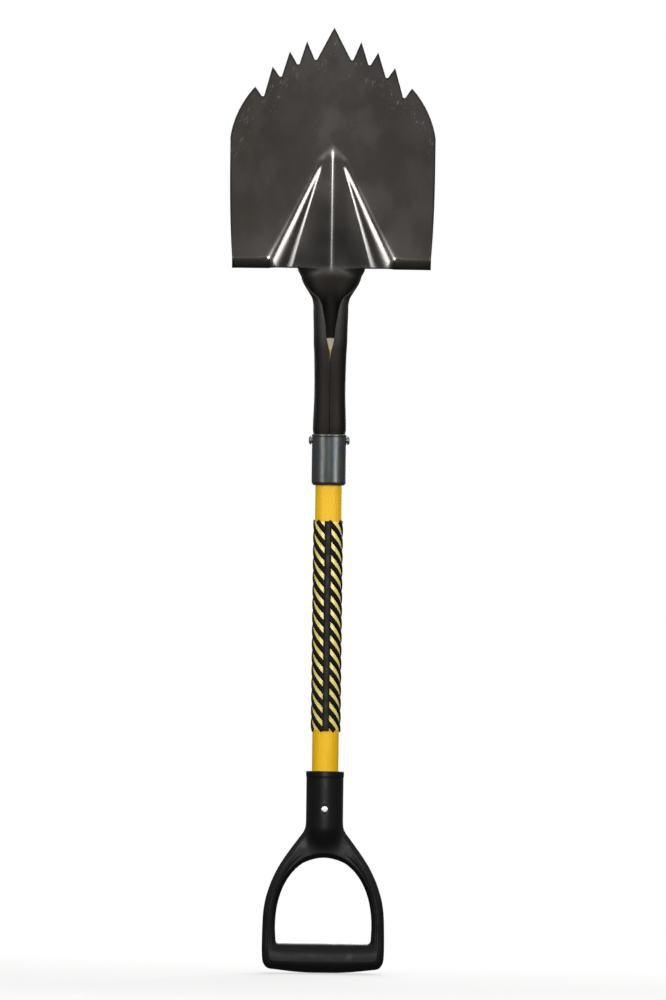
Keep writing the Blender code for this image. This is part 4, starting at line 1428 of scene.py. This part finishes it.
    def settled(self, points: np.ndarray) -> np.ndarray:
        """Moves the skin's points on to the surface itself.

        Args:
            points: points near it.

        Returns:
            The points on it.
        """
        h = 0.15 * MM
        for _ in range(3):
            def at(offset: tuple) -> np.ndarray:
                p = points + np.array(offset)
                return self.distance(*p.T, self.frame_depths(p[:, 0], p[:, 2]))
            here = at((0, 0, 0))
            steps = [tuple(h * (n == a) for n in range(3)) for a in range(3)]
            slope = np.stack([(at(step) - here) / h for step in steps], axis=1)
            size = np.maximum((slope**2).sum(axis=1), 0.2)
            move = -here[:, None] * slope / size[:, None]
            points = points + np.clip(move, -0.4 * self.grid, 0.4 * self.grid)
        return points

    def build(self) -> None:
        """Makes and dresses the D-grip and its rivet."""
        points, faces = self.skin()
        grip = add_piece("moulded_d_grip", points, faces, 55)
        turn_outwards(grip)
        dress(grip, GRIP_POLYMER, "grip_polymer", "d_grip")
        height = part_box("d_grip_rivet")[1].y - self.neck
        z = middle_z("d_grip_rivet")
        rivet = HeadedRivet(Axis.Y, 2.6 * MM, 3.8 * MM, height, self.neck, z, flat=0.6)
        dress(rivet.make("grip_rivet"), RIVET_ALUMINIUM, "rivet_aluminium", "d_grip_rivet")


# ---------------------------------------------------------------- studio


class Reach(Enum):
    """Which pieces a light falls on."""

    ALL = ()
    BLADE = ("pressed_blade",)
    BLACK = ("ribbed_sleeve", "moulded_d_grip")
    ZINC = ("drawn_collar", "collar_snap_rivet")
    BRIGHT = ("fibreglass_tube", "resin_core", "sleeve_film", "grip_rivet")

    def pieces(self) -> list[bpy.types.Object]:
        """The pieces that this light falls on."""
        return [bpy.data.objects[name] for name in self.value]


@dataclass
class Softbox:
    """An area light that the camera doesn't see."""

    name: str
    place: tuple
    target: tuple
    size: tuple
    power: float
    reach: Reach = Reach.ALL

    def build(self) -> None:
        """Puts the light up."""
        data = bpy.data.lights.new(self.name, "AREA")
        data.shape, data.size, data.size_y = "RECTANGLE", *self.size
        data.energy = self.power
        light = bpy.data.objects.new(self.name, data)
        bpy.context.scene.collection.objects.link(light)
        light.location = self.place
        light.rotation_mode = "QUATERNION"
        light.rotation_quaternion = (Vector(self.target) - Vector(self.place)).to_track_quat("-Z", "Y")
        light.visible_camera = False
        if self.reach is not Reach.ALL:
            lit = bpy.data.collections.new("lit_by_" + self.name)
            for piece in self.reach.pieces():
                lit.objects.link(piece)
            light.light_linking.receiver_collection = lit


@dataclass
class Studio:
    """A pale floor, a pale surround, soft lights and the camera."""

    floor_radius: float = 1.4
    distance: float = 18.0
    height: float = 0.5155
    aside: float = 4.9 * MM
    roll: float = math.radians(0.72)
    view_height: float = 1.090  # what the frame's height spans at the shaft

    def surround(self) -> None:
        """A world that is white behind the shovel and dimmer in what it reflects."""
        world = bpy.data.worlds.new("pale_surround")
        bpy.context.scene.world = world
        world.use_nodes = True
        tree = world.node_tree
        tree.nodes.clear()
        way = add_node(tree, "ShaderNodeTexCoord").outputs["Generated"]
        direction = add_node(tree, "ShaderNodeSeparateXYZ", {0: way})
        height = add_node(tree, "ShaderNodeMapRange", {"Value": direction.outputs["Z"]},
                          {"From Min": -0.12, "From Max": 0.6, "To Min": 0.05, "To Max": 0.36})
        lit = add_node(tree, "ShaderNodeBackground", {"Color": height.outputs[0]}, {"Strength": 1.0})
        seen = add_node(tree, "ShaderNodeBackground", None, {"Color": (1, 1, 1, 1), "Strength": 1.0})
        path = add_node(tree, "ShaderNodeLightPath")
        both = add_node(tree, "ShaderNodeMixShader",
                        {0: path.outputs["Is Camera Ray"], 1: lit.outputs[0], 2: seen.outputs[0]})
        add_node(tree, "ShaderNodeOutputWorld", {0: both.outputs[0]})

    def floor(self) -> None:
        """A wide pale disc just under the grip."""
        sides = 96
        points = [Axis.Z.point(self.floor_radius, 2 * math.pi * i / sides, -0.4 * MM) for i in range(sides)]
        floor = add_piece("floor", np.array(points), [list(range(sides))])
        pale = bpy.data.materials.new("pale_matt_floor")
        pale.use_nodes = True
        tree = pale.node_tree
        shader = tree.nodes["Principled BSDF"]
        shader.inputs["Base Color"].default_value = linear("#e9e9e8")
        shader.inputs["Roughness"].default_value = 0.9
        shader.inputs["Emission Color"].default_value = (1, 1, 1, 1)
        shader.inputs["Emission Strength"].default_value = 0.5
        place = add_node(tree, "ShaderNodeTexCoord").outputs["Object"]
        away = add_node(tree, "ShaderNodeVectorMath", {0: place}, operation="LENGTH").outputs["Value"]
        fade = add_node(tree, "ShaderNodeMapRange", {"Value": away},
                        {"From Min": 0.35, "From Max": self.floor_radius}, interpolation_type="SMOOTHSTEP")
        clear = add_node(tree, "ShaderNodeBsdfTransparent")
        mix = add_node(tree, "ShaderNodeMixShader",
                       {0: fade.outputs[0], 1: shader.outputs[0], 2: clear.outputs[0]})
        tree.links.new(mix.outputs[0], tree.nodes["Material Output"].inputs["Surface"])
        floor.data.materials.append(pale)
        floor.visible_glossy = floor.visible_diffuse = False

    def camera(self) -> None:
        """A long lens square on to the side where the socket is open, rolled a little."""
        data = bpy.data.cameras.new("camera")
        data.type, data.sensor_width = "PERSP", 36.0
        data.lens = data.sensor_width * self.distance / self.view_height
        camera = bpy.data.objects.new("camera", data)
        bpy.context.scene.collection.objects.link(camera)
        camera.location = (self.aside, -self.distance, self.height)
        camera.rotation_mode = "QUATERNION"
        camera.rotation_quaternion = (Quaternion((0, 1, 0), -self.roll) @ Quaternion((1, 0, 0), math.pi / 2))
        data.clip_end = 50
        bpy.context.scene.camera = camera

    def build(self) -> None:
        """Sets up everything that isn't the shovel."""
        scene = bpy.context.scene
        scene.view_settings.view_transform = "Standard"
        self.surround()
        self.floor()
        self.camera()
        blade, bright, black, zinc = Reach.BLADE, Reach.BRIGHT, Reach.BLACK, Reach.ZINC
        for light in (
            Softbox("left_wing_box", (-0.97, -0.86, 0.76), (0, 0, 0.83), (0.72, 0.28), 30, blade),
            Softbox("right_wing_box", (0.97, -0.86, 0.76), (0, 0, 0.83), (0.72, 0.28), 30, blade),
            Softbox("point_glint", (0, -2.5, 1.20), (0, 0, 0.89), (0.16, 0.2), 56, blade),
            Softbox("crease_glint", (0, -2.5, 0.95), (0, 0, 0.86), (0.08, 0.16), 9, blade),
            Softbox("blade_fill", (0, -1.6, 2.6), (0, 0, 0.85), (1.6, 0.8), 6, blade),
            Softbox("blade_back_box", (-1.2, 2.4, 1.7), (0, 0, 0.86), (1.6, 1.0), 60, blade),
            Softbox("left_bank", (-2.5, -2.5, 1.1), (0, 0, 0.5), (1.8, 2.4), 52, bright),
            Softbox("right_bank", (2.5, -2.5, 1.1), (0, 0, 0.5), (1.8, 2.4), 52, bright),
            Softbox("front_bank", (0, -4.0, 1.5), (0, 0, 0.4), (1.4, 2.4), 44, bright),
            Softbox("top", (0, -0.6, 3.2), (0, 0, 0.5), (2.4, 1.6), 20, bright),
            Softbox("left_zinc_bank", (-2.5, -2.5, 1.1), (0, 0, 0.5), (1.2, 2.4), 13, zinc),
            Softbox("right_zinc_bank", (2.5, -2.5, 1.1), (0, 0, 0.5), (1.2, 2.4), 18, zinc),
            Softbox("front_zinc_bank", (0, -4.0, 1.5), (0, 0, 0.6), (0.5, 1.6), 8, zinc),
            Softbox("left_edge_bank", (-2.5, -2.5, 1.1), (0, 0, 0.5), (1.8, 2.4), 1.5, black),
            Softbox("right_edge_bank", (2.5, -2.5, 1.1), (0, 0, 0.5), (1.8, 2.4), 2.5, black),
            Softbox("front_low_bank", (0, -4.0, 0.42), (0, 0, 0.2), (1.4, 0.8), 26, black),
            Softbox("back_fill", (0.6, 3.0, 1.4), (0, 0, 0.5), (2.0, 2.0), 50),
        ):
            light.build()


# ---------------------------------------------------------------- the shovel


def main() -> None:
    """Builds the shovel and its studio."""
    logging.basicConfig(level=logging.INFO, format="%(message)s")
    for part in (BladeHead(), SocketCollar(), FibreglassShaft(), RibbedSleeve(), MouldedGrip(), Studio()):
        part.build()
        LOG.info("built %s", type(part).__name__)


if __name__ == "__main__":
    main()
